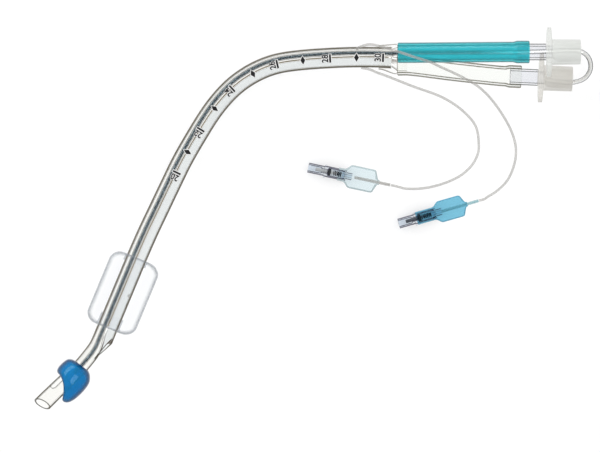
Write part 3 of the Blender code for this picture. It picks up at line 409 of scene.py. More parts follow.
tracheal_route = Route([Vector(point) + SHIFT for point in SHAFT_ROUTE + TRACHEAL_END])
bronchial_route = Route([Vector(point) + SHIFT for point in SHAFT_ROUTE + BRONCHIAL_END])
double_end = tracheal_route.knots[len(SHAFT_ROUTE) - 1]
mouth_start = double_end + MOUTH_LEAD
cuff_centre = mouth_start - CUFF_FROM_MOUTH
round_from = bronchial_route.knots[len(SHAFT_ROUTE) - 1]
round_to = bronchial_route.knots[len(SHAFT_ROUTE) + 1]


def ease(share):
    share = max(0.0, min(1.0, share))
    return share * share * (3 - 2 * share)


def disc(radius, sides):
    turns = [2 * math.pi * step / sides for step in range(sides)]
    return [(radius * math.cos(turn), radius * math.sin(turn)) for turn in turns]


def blend(first, second, share):
    return [
        (a[0] + (b[0] - a[0]) * share, a[1] + (b[1] - a[1]) * share) for a, b in zip(first, second)
    ]


def spaced(outline, count):
    """The closed outline as points that are evenly spaced along it, from its first point on."""
    loop = [Vector(point) for point in outline] + [Vector(outline[0])]
    reached = [0.0]
    for start, end in zip(loop, loop[1:]):
        reached.append(reached[-1] + (end - start).length)
    points = []
    index = 1
    for step in range(count):
        distance = reached[-1] * step / count
        while reached[index] < distance:
            index += 1
        share = (distance - reached[index - 1]) / (reached[index] - reached[index - 1])
        points.append(tuple(loop[index - 1].lerp(loop[index], share)))
    return points


def d_outline(radius, flat, corner, sides, hand=1):
    """A disc cut off flat on one side, with its two corners rounded."""
    inner = radius - corner
    high = math.sqrt(inner**2 - (flat + corner) ** 2)
    open_turn = math.atan2(high, flat + corner)
    upper = [open_turn * step / 24 for step in range(25)]
    points = [(radius * math.cos(turn), radius * math.sin(turn)) for turn in upper]
    for step in range(1, 9):
        turn = open_turn + (math.pi - open_turn) * step / 8
        points.append((flat + corner + corner * math.cos(turn), high + corner * math.sin(turn)))
    points += [(x, -y) for x, y in reversed(points[1:])]
    return [(hand * x, y) for x, y in spaced(points, sides)]


def ring(route, distance, outline, lean=None):
    """An outline set square on the route. lean shifts each point along it by its own amount."""
    place, heading, side, up = route.frame(distance)
    points = []
    for across, high in outline:
        shift = lean(across, high) if lean else 0.0
        points.append(place + side * across + up * high + heading * shift)
    return points


def skin(name, rings, ends=True):
    """An object over a row of rings that have the same number of points, with its faces outwards."""
    built = bmesh.new()
    rows = [[built.verts.new(point) for point in points] for points in rings]
    for row, after in zip(rows, rows[1:]):
        for index in range(len(row)):
            built.faces.new((row[index], row[index - 1], after[index - 1], after[index]))
    if ends:
        built.faces.new(rows[0])
        built.faces.new(rows[-1][::-1])
        bmesh.ops.recalc_face_normals(built, faces=built.faces)
    mesh = bpy.data.meshes.new(name)
    built.to_mesh(mesh)
    built.free()
    return new_object(name, mesh)


def select_only(piece):
    bpy.ops.object.select_all(action="DESELECT")
    bpy.context.view_layer.objects.active = piece
    piece.select_set(True)


def apply_modifiers(piece):
    select_only(piece)
    for modifier in list(piece.modifiers):
        bpy.ops.object.modifier_apply(modifier=modifier.name)


def cut_with(piece, cutter, material=None, operation="DIFFERENCE"):
    """Cuts or joins a solid with another, which is then used up. Its cut faces get the material."""
    if material:
        cutter.data.materials.append(material)
    boolean = piece.modifiers.new(cutter.name, "BOOLEAN")
    boolean.object = cutter
    boolean.operation = operation
    boolean.solver = "EXACT"
    boolean.material_mode = "TRANSFER"
    apply_modifiers(piece)
    bpy.data.objects.remove(cutter, do_unlink=True)


def smooth_piece(piece, degrees=35):
    select_only(piece)
    bpy.ops.object.shade_smooth_by_angle(angle=math.radians(degrees))


shaft_vinyl = clear_material(
    "clear_vinyl", (0.996, 0.996, 0.990), ((0.085, 0.075, 0.05), (0.125, 0.11, 0.08)), (0.12, 0.2), 0.0, 0.95,
    0.36, 0.54, shine=0.05
)
tracheal_bore = clear_material(
    "tracheal_bore", (0.885, 0.90, 0.905), ((0.34, 0.345, 0.32), (0.42, 0.425, 0.40)), (0.12, 0.2), 0.0, 0.7,
    0.5, 0.9, shine=0.05
)
bronchial_bore = clear_material(
    "bronchial_bore", (0.965, 0.962, 0.950), ((0.36, 0.36, 0.345), (0.44, 0.44, 0.425)), (0.12, 0.2), 0.0, 0.6,
    0.5, 0.9, shine=0.05
)
cut_edge = clear_material(
    "cut_edge", (0.95, 0.945, 0.935), ((0.13, 0.115, 0.085), (0.18, 0.16, 0.125)), (0.4, 0.55), 0.2, 0.95, 0.3,
    0.8, shine=0.05
)


def finish_end(piece):
    """Gives the last face of a new skin, its cut end, the finish of a cut edge."""
    piece.data.materials.append(shaft_vinyl)
    piece.data.materials.append(cut_edge)
    piece.data.polygons[-1].material_index = 1


def roundness(distance):
    """How far the bronchial section has gone from a half disc to round, from 0 to 1."""
    return ease((distance - round_from) / (round_to - round_from))


def bronchial_radius(distance):
    share = ease((distance - round_to) / (bronchial_route.length - round_to))
    return SECTION_RADIUS + (TIP_RADIUS - SECTION_RADIUS) * share


def skive(across, high):
    """The slant of the tracheal mouth. The upper half of its edge lies further back in the middle."""
    slant = (across + SHAFT_RADIUS) * SKIVE_LENGTH / (SHAFT_RADIUS - SEPTUM / 2)
    return slant + across * max(high, 0.0) / SHAFT_RADIUS * SKIVE_SETBACK


def tip_bevel(across, high):
    return (across - TIP_RADIUS) * math.tan(TIP_SLANT) - high * math.tan(TIP_BEVEL)


full = disc(SHAFT_RADIUS, 64)
half = [(min(x, 0.0), y) for x, y in full]
closing = [(x, y * (1 - MOUTH_PINCH * (1 + x / SHAFT_RADIUS))) for x, y in half]
rings = [ring(tracheal_route, distance, full) for distance in tracheal_route.steps(0, double_end, RING_STEP)]
for step in range(7):
    share = step / 6
    distance = double_end + GAP + (mouth_start - double_end - GAP) * share
    outline = blend(half, closing, share)
    rings.append(ring(tracheal_route, distance, outline, lambda across, high: skive(across, high) * share))
shaft = skin("shaft", rings)
finish_end(shaft)

tracheal_lumen = d_outline(SHAFT_RADIUS - SHAFT_WALL, SEPTUM / 2, LUMEN_CORNER, 48, hand=-1)
mouth_end = mouth_start + MOUTH_BORE_LENGTH
rings = []
for distance in tracheal_route.steps(-CUT_PAST, mouth_end + CUT_PAST, RING_STEP):
    share = max(0.0, (distance - double_end) / (mouth_end - double_end))
    pinched = [(x, y * (1 - MOUTH_PINCH * share)) for x, y in tracheal_lumen]
    rings.append(ring(tracheal_route, distance, pinched))
cut_with(shaft, skin("tracheal_lumen", rings), tracheal_bore)

rings = []
start = round_from - SECTION_OVERLAP
for distance in bronchial_route.steps(start, bronchial_route.length, 0.0020):
    grown = 2 * ease((distance - start) / SECTION_OVERLAP) - 1
    blank = d_outline(SHAFT_RADIUS + SECTION_STEP * grown, -SEPTUM / 2 - SECTION_STEP * grown, 0.0006, 64)
    outline = blend(blank, disc(bronchial_radius(distance), 64), roundness(distance))
    lean = tip_bevel if distance >= bronchial_route.length else None
    rings.append(ring(bronchial_route, distance, outline, lean))
cutter = skin("bronchial_section", rings)
finish_end(cutter)
cut_with(shaft, cutter, operation="UNION")

bronchial_lumen = d_outline(SHAFT_RADIUS - SHAFT_WALL, SEPTUM / 2, LUMEN_CORNER, 48)
rings = []
for distance in bronchial_route.steps(-CUT_PAST, bronchial_route.length + 2 * CUT_PAST, RING_STEP):
    round_bore = disc(bronchial_radius(distance) - SECTION_WALL, 48)
    rings.append(ring(bronchial_route, distance, blend(bronchial_lumen, round_bore, roundness(distance))))
cut_with(shaft, skin("bronchial_lumen", rings), bronchial_bore)


def wall_outline(route, distance, turn, outline, depth_of):
    """An outline across and along a tube, at a turn round it, each point at its own depth from the axis."""
    place, heading, side, up = route.frame(distance)
    outwards = side * math.cos(turn) + up * math.sin(turn)
    across = outwards.cross(heading)
    return [place + across * x + heading * y + outwards * depth_of(x) for x, y in outline]


def cut_wall(name, route, distance, turn, outline, inner, outer):
    """Cuts an outline out of the shaft's wall, between two depths from the axis."""
    rings = [wall_outline(route, distance, turn, outline, lambda x, d=d: d) for d in (inner, outer)]
    cut_with(shaft, skin(name, rings), cut_edge)


slot_reach = (SIDE_EYE_LENGTH - SIDE_EYE_WIDTH) / 2
slot_outline = [(x, y + (slot_reach if y >= 0 else -slot_reach)) for x, y in disc(SIDE_EYE_WIDTH / 2, 32)]
eye_spot = bronchial_route.length - SIDE_EYE_FROM_TIP
cut_wall(
    "side_eye", bronchial_route, eye_spot, SIDE_EYE_TURN, slot_outline, TIP_RADIUS * 0.3, TIP_RADIUS + CUT_PAST
)
cut_wall(
    "inflation_port", tracheal_route, cuff_centre, PORT_TURN, disc(0.0009, 24), SHAFT_RADIUS - PORT_DEPTH,
    SHAFT_RADIUS + CUT_PAST
)
for prefix, route in (("tracheal", tracheal_line_route), ("bronchial", bronchial_line_route)):
    rings = [ring(route, distance, disc(LINE_RADIUS + GAP, 20)) for distance in (-GAP, 0.003, 0.006, 0.010)]
    cut_with(shaft, skin(prefix + "_line_notch", rings), shaft_vinyl)
smooth_piece(shaft)
see_through(shaft, "double_lumen_shaft")


def add_piece(piece, material):
    """A detail of the tube that stands for no node of its own."""
    piece.data.materials.clear()
    piece.data.materials.append(material)
    piece.visible_shadow = False
    piece.visible_diffuse = False
    smooth_piece(piece, 60)
    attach(piece, "tube")


def lip(name, loop, radius, material):
    """The thin rounded edge that heat leaves round a cut mouth, along a closed loop of points."""
    select_only(round_curve(name, loop, radius, 3, closed=True))
    bpy.ops.object.convert(target="MESH")
    add_piece(bpy.context.object, material)


tip_edge, mouth_edge, septum_tint = (
    solid_material(name, tones, (0.3, 0.45), shine=0.15) for name, tones in (
        ("tip_edge", ((0.16, 0.16, 0.15), (0.22, 0.22, 0.21))),
        ("mouth_edge", ((0.03, 0.022, 0.012), (0.055, 0.042, 0.026))),
        ("septum_tint", ((0.15, 0.12, 0.07), (0.21, 0.17, 0.105))),
    )
)
tip_outline = disc(TIP_RADIUS - TIP_LIP, 64)
lip("tip_lip", ring(bronchial_route, bronchial_route.length, tip_outline, tip_bevel), TIP_LIP, tip_edge)
mouth_outline = [(x * 0.965, y * 0.96) for x, y in closing]
lip("tracheal_lip", ring(tracheal_route, mouth_start, mouth_outline, skive), MOUTH_LIP, mouth_edge)
eye_radius = bronchial_radius(eye_spot) - 0.00010
lip("eye_lip", wall_outline(
    bronchial_route, eye_spot, SIDE_EYE_TURN, slot_outline, lambda x: math.sqrt(eye_radius**2 - x * x)
), EYE_LIP, tip_edge)
septum_line = skin("septum_line", [
    ring(tracheal_route, distance, [(x, y + SEPTUM_LINE_HEIGHT) for x, y in disc(SEPTUM_LINE, 16)])
    for distance in tracheal_route.steps(0.0015, double_end - 0.001, RING_STEP)
])
add_piece(septum_line, septum_tint)

# Depth marks: plain centimetre numbers, lines and diamonds in black ink on a white ground, pad printed on the
# upper side of the shaft. They go on where the real tube has words, which this one leaves off.
INK_HEIGHT = 0.00003
INK_TURN = math.radians(94)
NUMBER_SIZE = 0.0053
NUMBER_BOLDNESS = 0.00015
NUMBER_NARROWING = 0.92
BAR = (0.0026, 0.0006)
BAR_FROM_NUMBER = 0.0029
DIAMOND = (0.0015, 0.0026)
GROUND_EDGE = 0.0003
INK_CLEARANCE = 0.00001
NUMBERS = (("30", 0.0077), ("28", 0.0393), ("26", 0.0715), ("24", 0.1033), ("22", 0.1350), ("20", 0.1650))
DIAMONDS = (0.0205, 0.0529, 0.0847, 0.1165, 0.1480)

black_ink, white_ink = (
    solid_material(name, tones, (0.45, 0.65), shine, haze_scale=900.0, ripple_scale=2500.0, ripple=0.3)
    for name, tones, shine in (
        ("black_ink", ((0.004, 0.004, 0.005), (0.014, 0.014, 0.016)), 0.2),
        ("white_ink", ((0.88, 0.88, 0.875), (0.94, 0.94, 0.935)), 0.5),
    )
)


def flat_text(words, size, bolder):
    """A line of text as a flat mesh, with its middle at the origin."""
    bpy.ops.object.select_all(action="DESELECT")
    bpy.ops.object.text_add()
    text = bpy.context.object
    text.data.body = words
    text.data.size = size
    text.data.offset = bolder
    text.data.align_x = "CENTER"
    text.data.align_y = "CENTER"
    text.data.resolution_u = 4
    bpy.ops.object.convert(target="MESH")
    return bpy.context.object


def flat_shape(points):
    mesh = bpy.data.meshes.new("flat_shape")
    mesh.from_pydata([(x, y, 0) for x, y in points], [], [list(range(len(points)))])
    return new_object("flat_shape", mesh)


def printed(flat, route, distance, turn, height, swing=0.0):
    """Lays a flat shape on the outside of the shaft. Its x runs back along the tube, and its y up round it."""
    built = bmesh.new()
    built.from_mesh(flat.data)
    bmesh.ops.triangulate(built, faces=built.faces)
    for again in range(2):
        long_edges = [edge for edge in built.edges if edge.calc_length() > 0.0006]
        bmesh.ops.subdivide_edges(built, edges=long_edges, cuts=1, use_grid_fill=False)
        bmesh.ops.triangulate(built, faces=built.faces)
    bmesh.ops.remove_doubles(built, verts=built.verts, dist=0.000001)
    for vert in built.verts:
        x = vert.co.x * math.cos(swing) - vert.co.y * math.sin(swing)
        y = vert.co.x * math.sin(swing) + vert.co.y * math.cos(swing)
        place, heading, side, up = route.frame(distance - x)
        around = turn - y / SHAFT_RADIUS
        vert.co = place + (side * math.cos(around) + up * math.sin(around)) * (SHAFT_RADIUS + height)
    built.to_mesh(flat.data)
    built.free()
    flat.matrix_world = Matrix.Identity(4)
    return flat


def join_pieces(name, pieces):
    bpy.ops.object.select_all(action="DESELECT")
    for piece in pieces:
        piece.select_set(True)
    bpy.context.view_layer.objects.active = pieces[0]
    bpy.ops.object.join()
    joined = bpy.context.object
    joined.name = name
    return joined


def print_marks(name, grown, bottom, film_ink):
    """One pass of the printing pad: every mark, grown by an edge, at a height over the vinyl."""
    marks = []
    for number, distance in NUMBERS:
        text = flat_text(number, NUMBER_SIZE, NUMBER_BOLDNESS + grown * 0.7)
        text.data.transform(Matrix.Diagonal((NUMBER_NARROWING, 1, 1, 1)))
        marks.append(printed(text, tracheal_route, distance, INK_TURN, bottom, math.radians(90)))
        wide, high = BAR[0] + grown, BAR[1] + grown
        bar = flat_shape([(-wide, -high), (wide, -high), (wide, high), (-wide, high)])
        beside = distance - BAR_FROM_NUMBER
        marks.append(printed(bar, tracheal_route, beside, INK_TURN, bottom, math.radians(90)))
    for distance in DIAMONDS:
        wide, high = DIAMOND[0] + grown * 1.3, DIAMOND[1] + grown * 1.6
        diamond = flat_shape([(-wide, 0.0), (0.0, -high), (wide, 0.0), (0.0, high)])
        marks.append(printed(diamond, tracheal_route, distance, INK_TURN, bottom))
    joined = join_pieces(name, marks)
    joined.data.materials.clear()
    joined.data.materials.append(film_ink)
    film = joined.modifiers.new("ink_film", "SOLIDIFY")
    film.thickness = INK_HEIGHT
    film.offset = 1
    apply_modifiers(joined)
    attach(joined, "tube")


print_marks("mark_ground", GROUND_EDGE, INK_CLEARANCE, white_ink)
print_marks("depth_marks", 0.0, INK_CLEARANCE + 2 * INK_HEIGHT, black_ink)

# Tracheal cuff: a clear film sleeve, blown to a barrel and welded round the shaft by its two necks. Its lower
# neck is turned in under the barrel.
CUFF_RADIUS = 0.01518
CUFF_LENGTH = 0.0459
CUFF_CORNER = 0.0068
CUFF_FILM = 0.0003
CUFF_FULLER_SIDE = 0.07

cuff_film = clear_material(
    "cuff_film", (0.99, 0.992, 0.996), ((0.27, 0.30, 0.325), (0.34, 0.37, 0.40)), (0.08, 0.16), 0.0, 0.66,
    0.38, 1.06, shine=0.1, ripple_scale=120.0
)


def film_piece(piece, thickness, vinyl, node, place=Matrix.Identity(4)):
    """Gives a blown shell the thickness of its film, inwards, and puts it in a node's place."""
    film = piece.modifiers.new("film", "SOLIDIFY")
    film.thickness = thickness
    film.offset = -1
    apply_modifiers(piece)
    piece.data.transform(place)
    piece.data.materials.append(vinyl)
    smooth_piece(piece, 60)
    see_through(piece, node)


def gathered(radius, sides, folds, depth):
    """A round outline drawn into small folds, as film is where it narrows to a weld."""
    points = []
    for step in range(sides):
        turn = 2 * math.pi * step / sides
        wave = radius - depth * (0.5 + 0.5 * math.sin(folds * turn + 1.3 * math.sin(3 * turn)))
        points.append((wave * math.cos(turn), wave * math.sin(turn)))
    return points


top = cuff_centre - CUFF_LENGTH / 2
bottom = cuff_centre + CUFF_LENGTH / 2
neck = SHAFT_RADIUS + GAP + CUFF_FILM
profile = [(top + 0.0040, neck), (top + 0.0025, neck), (top + 0.0010, neck), (top + 0.0002, neck + 0.0012)]
corner = []
for step in range(13):
    turn = math.pi / 2 * step / 12
    corner.append((CUFF_CORNER * (1 - math.sin(turn)), CUFF_RADIUS - CUFF_CORNER * (1 - math.cos(turn))))
profile += [(top + inwards, radius) for inwards, radius in reversed(corner)]
straight = [top + CUFF_CORNER + (CUFF_LENGTH - 2 * CUFF_CORNER) * step / 12 for step in range(1, 12)]
profile += [(distance, CUFF_RADIUS) for distance in straight]
profile += [(bottom - inwards, radius) for inwards, radius in corner]
profile += [(bottom - 0.0006, neck + 0.0009), (bottom - 0.0015, neck + 0.0003), (bottom - 0.0025, neck)]
profile += [(bottom - 0.0050, neck), (bottom - 0.0080, neck)]
rings = []
for distance, radius in profile:
    blown = (radius - neck) / (CUFF_RADIUS - neck)
    depth = 0.0004 * math.sin(math.pi * min(blown, 1.0)) ** 2
    outline = gathered(radius, 96, 22, depth)
    fuller = 1 + CUFF_FULLER_SIDE * blown
    rings.append(ring(tracheal_route, distance, [(x * fuller if x < 0 else x, y) for x, y in outline]))
film_piece(skin("cuff_tracheal", rings, ends=False), CUFF_FILM, cuff_film, "tracheal_cuff")

# Bronchial cuff: a short bead of blue film round the tip, longer on the inner side of the bend, and welded
# round the tube at both ends.
BEAD_RADIUS = 0.0106
BEAD_INNER_SWELL = 0.0013
BEAD_FILM = 0.0004
BEAD_SHORT = 0.0114
BEAD_LONG = 0.0206
BEAD_DIP = 0.0028
BEAD_FROM_TIP = 0.0322
BEAD_OUTLINE = (
    (-0.10, 0.00), (-0.06, 0.28), (0.00, 0.52), (0.08, 0.74), (0.20, 0.89), (0.38, 0.98), (0.58, 1.00),
    (0.78, 0.94), (0.94, 0.74), (1.02, 0.42), (1.02, 0.16), (0.96, 0.00),
)

# The blue film's side colour is a painted shade: navy on its upright faces.
blue_film = clear_material(
    "blue_film", (0.05, 0.62, 0.88), ((0.002, 0.20, 0.44), (0.003, 0.27, 0.55)), (0.07, 0.14), 0.5, 0.98, 0.35,
    0.9, shine=0.8, haze_scale=90.0, side=(0.001, 0.03, 0.11)
)
blue_film.node_tree.nodes["Principled BSDF"].inputs["Specular Tint"].default_value = (0.6, 0.9, 1.0, 1)
bead_curve = Route([(share, swell, 0) for share, swell in BEAD_OUTLINE])
rings = []
for along_curve in bead_curve.steps(0, bead_curve.length, bead_curve.length / 48):
    share, swell, level = bead_curve.place(along_curve)
    points = []
    for x, y in disc(1.0, 72):
        distance = bronchial_route.length - BEAD_FROM_TIP
        distance += ((BEAD_SHORT + BEAD_LONG) / 2 - (BEAD_LONG - BEAD_SHORT) / 2 * x) * share
        distance -= BEAD_DIP * y * y * ease((share - 0.4) / 0.6)
        neck = bronchial_radius(distance) + GAP + BEAD_FILM
        wide = neck + (BEAD_RADIUS - BEAD_INNER_SWELL * x - neck) * max(swell, 0.0)
        place, heading, side, up = bronchial_route.frame(distance)
        points.append(place + side * wide * x + up * wide * y)
    rings.append(points)
film_piece(skin("cuff_bronchial", rings, ends=False), BEAD_FILM, blue_film, "bronchial_cuff")

# Junction collar: a clear moulded piece. The shaft is glued into its socket, and it carries the two limb
# tubes on its spigots.
COLLAR_START = 0.0394
COLLAR_END = 0.0504
COLLAR_WALL = 0.0009
COLLAR_OVAL = 0.0053
SPIGOT_RADIUS = 0.00435
SPIGOT_WALL = 0.0010
SPIGOT_LENGTH = 0.0060
BRONCHIAL_SPIGOT = (0.0994, 0.0167)
TRACHEAL_SPIGOT = (0.0921, 0.0064)

collar_vinyl = clear_material(
    "collar_vinyl", (0.992, 0.992, 0.988), ((0.17, 0.155, 0.12), (0.23, 0.21, 0.17)), (0.15, 0.25), 0.0, 0.75,
    0.48, 0.75, shine=0.05
)


def level_ring(x, outline, centre):
    return [Vector((x, centre[0] + across, centre[1] + high)) + SHIFT for across, high in outline]


def oval_outline(first, second, radius, sides):
    """The outline of two discs of one radius and the band between them, as offsets from their middle."""
    middle = Vector(((first[0] + second[0]) / 2, (first[1] + second[1]) / 2))
    reach = Vector((first[0] - middle[0], first[1] - middle[1]))
    points = []
    for x, y in disc(radius, sides):
        facing = 1 if Vector((x, y)).dot(reach) >= 0 else -1
        points.append((x + reach[0] * facing, y + reach[1] * facing))
    return middle, points


junction = Vector(SHAFT_ROUTE[0])
socket_depth = junction[0] - COLLAR_START
socket = SHAFT_RADIUS + GAP
socket_rim = disc(socket + COLLAR_WALL, 64)
rim_centre = (tracheal_route.place(socket_depth) - SHIFT).yz
oval_middle, oval = oval_outline(BRONCHIAL_SPIGOT, TRACHEAL_SPIGOT, COLLAR_OVAL, 64)
rings = []
for step in range(17):
    share = step / 16
    x = COLLAR_START + (COLLAR_END - COLLAR_START) * share
    eased = ease(share)
    rings.append(level_ring(x, blend(socket_rim, oval, eased), rim_centre.lerp(oval_middle, eased)))
collar = skin("collar", rings)
collar.data.materials.append(collar_vinyl)
for spot in (BRONCHIAL_SPIGOT, TRACHEAL_SPIGOT):
    ends = (COLLAR_END - 0.002, COLLAR_END + SPIGOT_LENGTH)
    spigot = skin("spigot", [level_ring(x, disc(SPIGOT_RADIUS, 48), spot) for x in ends])
    cut_with(collar, spigot, operation="UNION")
distances = (-GAP, 0.002, 0.004, 0.006, socket_depth + 0.004)
cut_with(collar, skin("socket", [ring(tracheal_route, distance, disc(socket, 64)) for distance in distances]))
for spot, hand in ((BRONCHIAL_SPIGOT, 1), (TRACHEAL_SPIGOT, -1)):
    round_bore = [(hand * x, y) for x, y in disc(SPIGOT_RADIUS - SPIGOT_WALL, 48)]
    opened = d_outline(SHAFT_RADIUS - SHAFT_WALL, SEPTUM / 2, LUMEN_CORNER, 48, hand)
    rings = [
        level_ring(junction[0] - 2 * GAP, opened, junction[1:]),
        level_ring(COLLAR_END + GAP, round_bore, spot),
        level_ring(COLLAR_END + SPIGOT_LENGTH + 0.002, round_bore, spot),
    ]
    cut_with(collar, skin("passage", rings))
smooth_piece(collar, 40)
see_through(collar, "junction_collar")

# Limb tubes: soft vinyl, teal on the bronchial side and clear on the tracheal one. Each is pushed over a
# spigot of the collar at one end and stretched over the stem of its connector at the other.
LIMB_WALL = 0.0015
FLARE_LENGTH = 0.0030
STEM_OVERLAP = 0.0068
STEM_RADIUS = 0.0050
BRONCHIAL_STEM_END = (0.1227, 0.0997, 0.0215)
BRONCHIAL_TURN = math.radians(0)
TRACHEAL_STEM_END = (0.1185, 0.0855, 0.0086)
TRACHEAL_TURN = math.radians(-2.5)

# The teal vinyl's side colour is a painted shade on its upright faces.
teal_vinyl = clear_material(
    "teal_vinyl", (0.34, 0.85, 0.88), ((0.025, 0.45, 0.50), (0.07, 0.57, 0.65)), (0.12, 0.2), 0.28, 0.97, 0.3,
    0.9, shine=1.0, haze_scale=40.0, side=(0.002, 0.13, 0.15)
)
limb_vinyl = clear_material(
    "limb_vinyl", (0.985, 0.988, 0.980), ((0.13, 0.125, 0.09), (0.19, 0.18, 0.135)), (0.12, 0.22), 0.0, 0.85,
    0.38, 0.66, shine=0.05
)


def limb_route(spot, stem_end, turn):
    heading = heading_of(turn)
    start = Vector((COLLAR_END + GAP, spot[0], spot[1]))
    stem = Vector(stem_end)
    straight = Vector((SPIGOT_LENGTH + 5 * GAP, 0, 0))
    points = [start, start + straight, start.lerp(stem, 0.5), stem - heading * 0.0060, stem]
    return Route([point + SHIFT for point in points + [stem + heading * STEM_OVERLAP]])


for name, node, spot, stem_end, turn, vinyl in (
    ("limb_bronchial", "bronchial_limb", BRONCHIAL_SPIGOT, BRONCHIAL_STEM_END, BRONCHIAL_TURN, teal_vinyl),
    ("limb_tracheal", "tracheal_limb", TRACHEAL_SPIGOT, TRACHEAL_STEM_END, TRACHEAL_TURN, limb_vinyl),
):
    route = limb_route(spot, stem_end, turn)
    bore = SPIGOT_RADIUS + GAP
    stretched = STEM_RADIUS + GAP
    flare_end = route.knots[4] - GAP
    rows = [(0, bore, LIMB_WALL - 0.0007), (0.0002, bore, LIMB_WALL - 0.0002), (0.0007, bore, LIMB_WALL)]
    rows += [(distance, bore, LIMB_WALL) for distance in route.steps(0.003, flare_end - FLARE_LENGTH, 0.003)]
    for step in range(1, 7):
        share = step / 6
        wider = bore + (stretched - bore) * ease(share)
        rows.append((flare_end - FLARE_LENGTH * (1 - share), wider, LIMB_WALL))
    rows += [(route.length - 0.0004, stretched, LIMB_WALL), (route.length, stretched, LIMB_WALL - 0.0003)]
    rings = [ring(route, distance, disc(radius + wall, 64)) for distance, radius, wall in rows]
    limb = skin(name, rings)
    limb.data.materials.append(vinyl)
    bores = [(distance, radius) for distance, radius, wall in rows[1:-1]]
    bores = [(-0.001, bore)] + bores + [(route.length + 0.001, stretched)]
    rings = [ring(route, distance, disc(radius, 48)) for distance, radius in bores]
    cut_with(limb, skin("limb_bore", rings), vinyl)
    smooth_piece(limb)
    see_through(limb, node)

# Connectors: two mouldings in milky plastic, each with a stem, a ringed flange with two wings and a tapered
# 15 mm male end. The limbs are stretched over the stems.
STEM_LENGTH = 0.0171
FLANGE_THICKNESS = 0.0030
BARREL_LENGTH = 0.0174
BARREL_BORE_DEPTH = 0.0140
FLANGE_SPAN = 0.0296

cool_milky, warm_milky = (
    clear_material(name, clear, tones, (0.25, 0.4), 0.5, 0.96, 0.2, 0.9, shine=0.35, haze_scale=35.0)
    for name, clear, tones in (
        ("cool_milky_plastic", (0.97, 0.975, 0.97), ((0.62, 0.635, 0.61), (0.72, 0.735, 0.71))),
        ("warm_milky_plastic", (0.96, 0.955, 0.94), ((0.56, 0.545, 0.51), (0.66, 0.645, 0.61))),
    )
)
stem_clear = clear_material(
    "stem_clear_plastic", (0.972, 0.975, 0.985), ((0.085, 0.09, 0.095), (0.13, 0.135, 0.14)), (0.15, 0.25),
    0.03, 0.9, 0.42, 0.7, shine=0.1
)


def axis_frame(origin, ahead):
    """A matrix whose local Z looks ahead, with its local Y upwards."""
    across = Vector((0, 0, 1)).cross(ahead).normalized()
    turn = Matrix((across, ahead.cross(across), ahead)).transposed()
    return Matrix.Translation(origin) @ turn.to_4x4()


def turned_piece(name, profile, sides, place, closed=True):
    """Spins an outline of (radius, height) points once round the local Z, as on a lathe. An outline that
    starts and ends on the axis isn't closed."""
    mesh = bpy.data.meshes.new(name)
    edges = [(index, index + 1) for index in range(len(profile) - 1)]
    if closed:
        edges.append((len(profile) - 1, 0))
    mesh.from_pydata([(radius, 0, height) for radius, height in profile], edges, [])
    piece = new_object(name, mesh)
    select_only(piece)
    bpy.ops.object.mode_set(mode="EDIT")
    bpy.ops.mesh.select_all(action="SELECT")
    bpy.ops.mesh.spin(steps=sides, angle=2 * math.pi, center=(0, 0, 0), axis=(0, 0, 1))
    bpy.ops.mesh.select_all(action="SELECT")
    bpy.ops.mesh.remove_doubles(threshold=0.000005)
    bpy.ops.mesh.select_all(action="SELECT")
    bpy.ops.mesh.dissolve_degenerate(threshold=0.000001)
    bpy.ops.mesh.select_all(action="SELECT")
    bpy.ops.mesh.normals_make_consistent(inside=False)
    bpy.ops.object.mode_set(mode="OBJECT")
    piece.data.transform(place)
    return piece


def soften(piece, width, segments=2):
    """Takes the sharpness off the edges of a moulding."""
    rounding = piece.modifiers.new("soft_edges", "BEVEL")
    rounding.width = width
    rounding.segments = segments
    rounding.limit_method = "ANGLE"
    rounding.angle_limit = math.radians(30)
    apply_modifiers(piece)


def flange_wings(place):
    """A flat bar across the connector, thinner towards its ends, which are rounded off."""
    half, rounded, root = FLANGE_SPAN / 2, 0.0036, 0.0085
    rows = []
    for step in range(13):
        turn = math.pi / 2 * (1 - step / 12)
        rows.append((rounded - half - rounded * math.sin(turn), 0.0050 - rounded * (1 - math.cos(turn))))
    rows.append((-root, 0.0050))
    rows += [(-across, high) for across, high in reversed(rows)]
    rings = []
    for across, high in rows:
        thin = FLANGE_THICKNESS / 2 - 0.00035 * max(0.0, abs(across) - root) / (half - root)
        rings.append([Vector((across, high * y, thin * z)) for y, z in ((-1, -1), (1, -1), (1, 1), (-1, 1))])
    wings = skin("wings", rings)
    soften(wings, 0.0004, 3)
    wings.data.transform(place @ Matrix.Translation((0, 0, STEM_LENGTH + FLANGE_THICKNESS / 2)))
    return wings


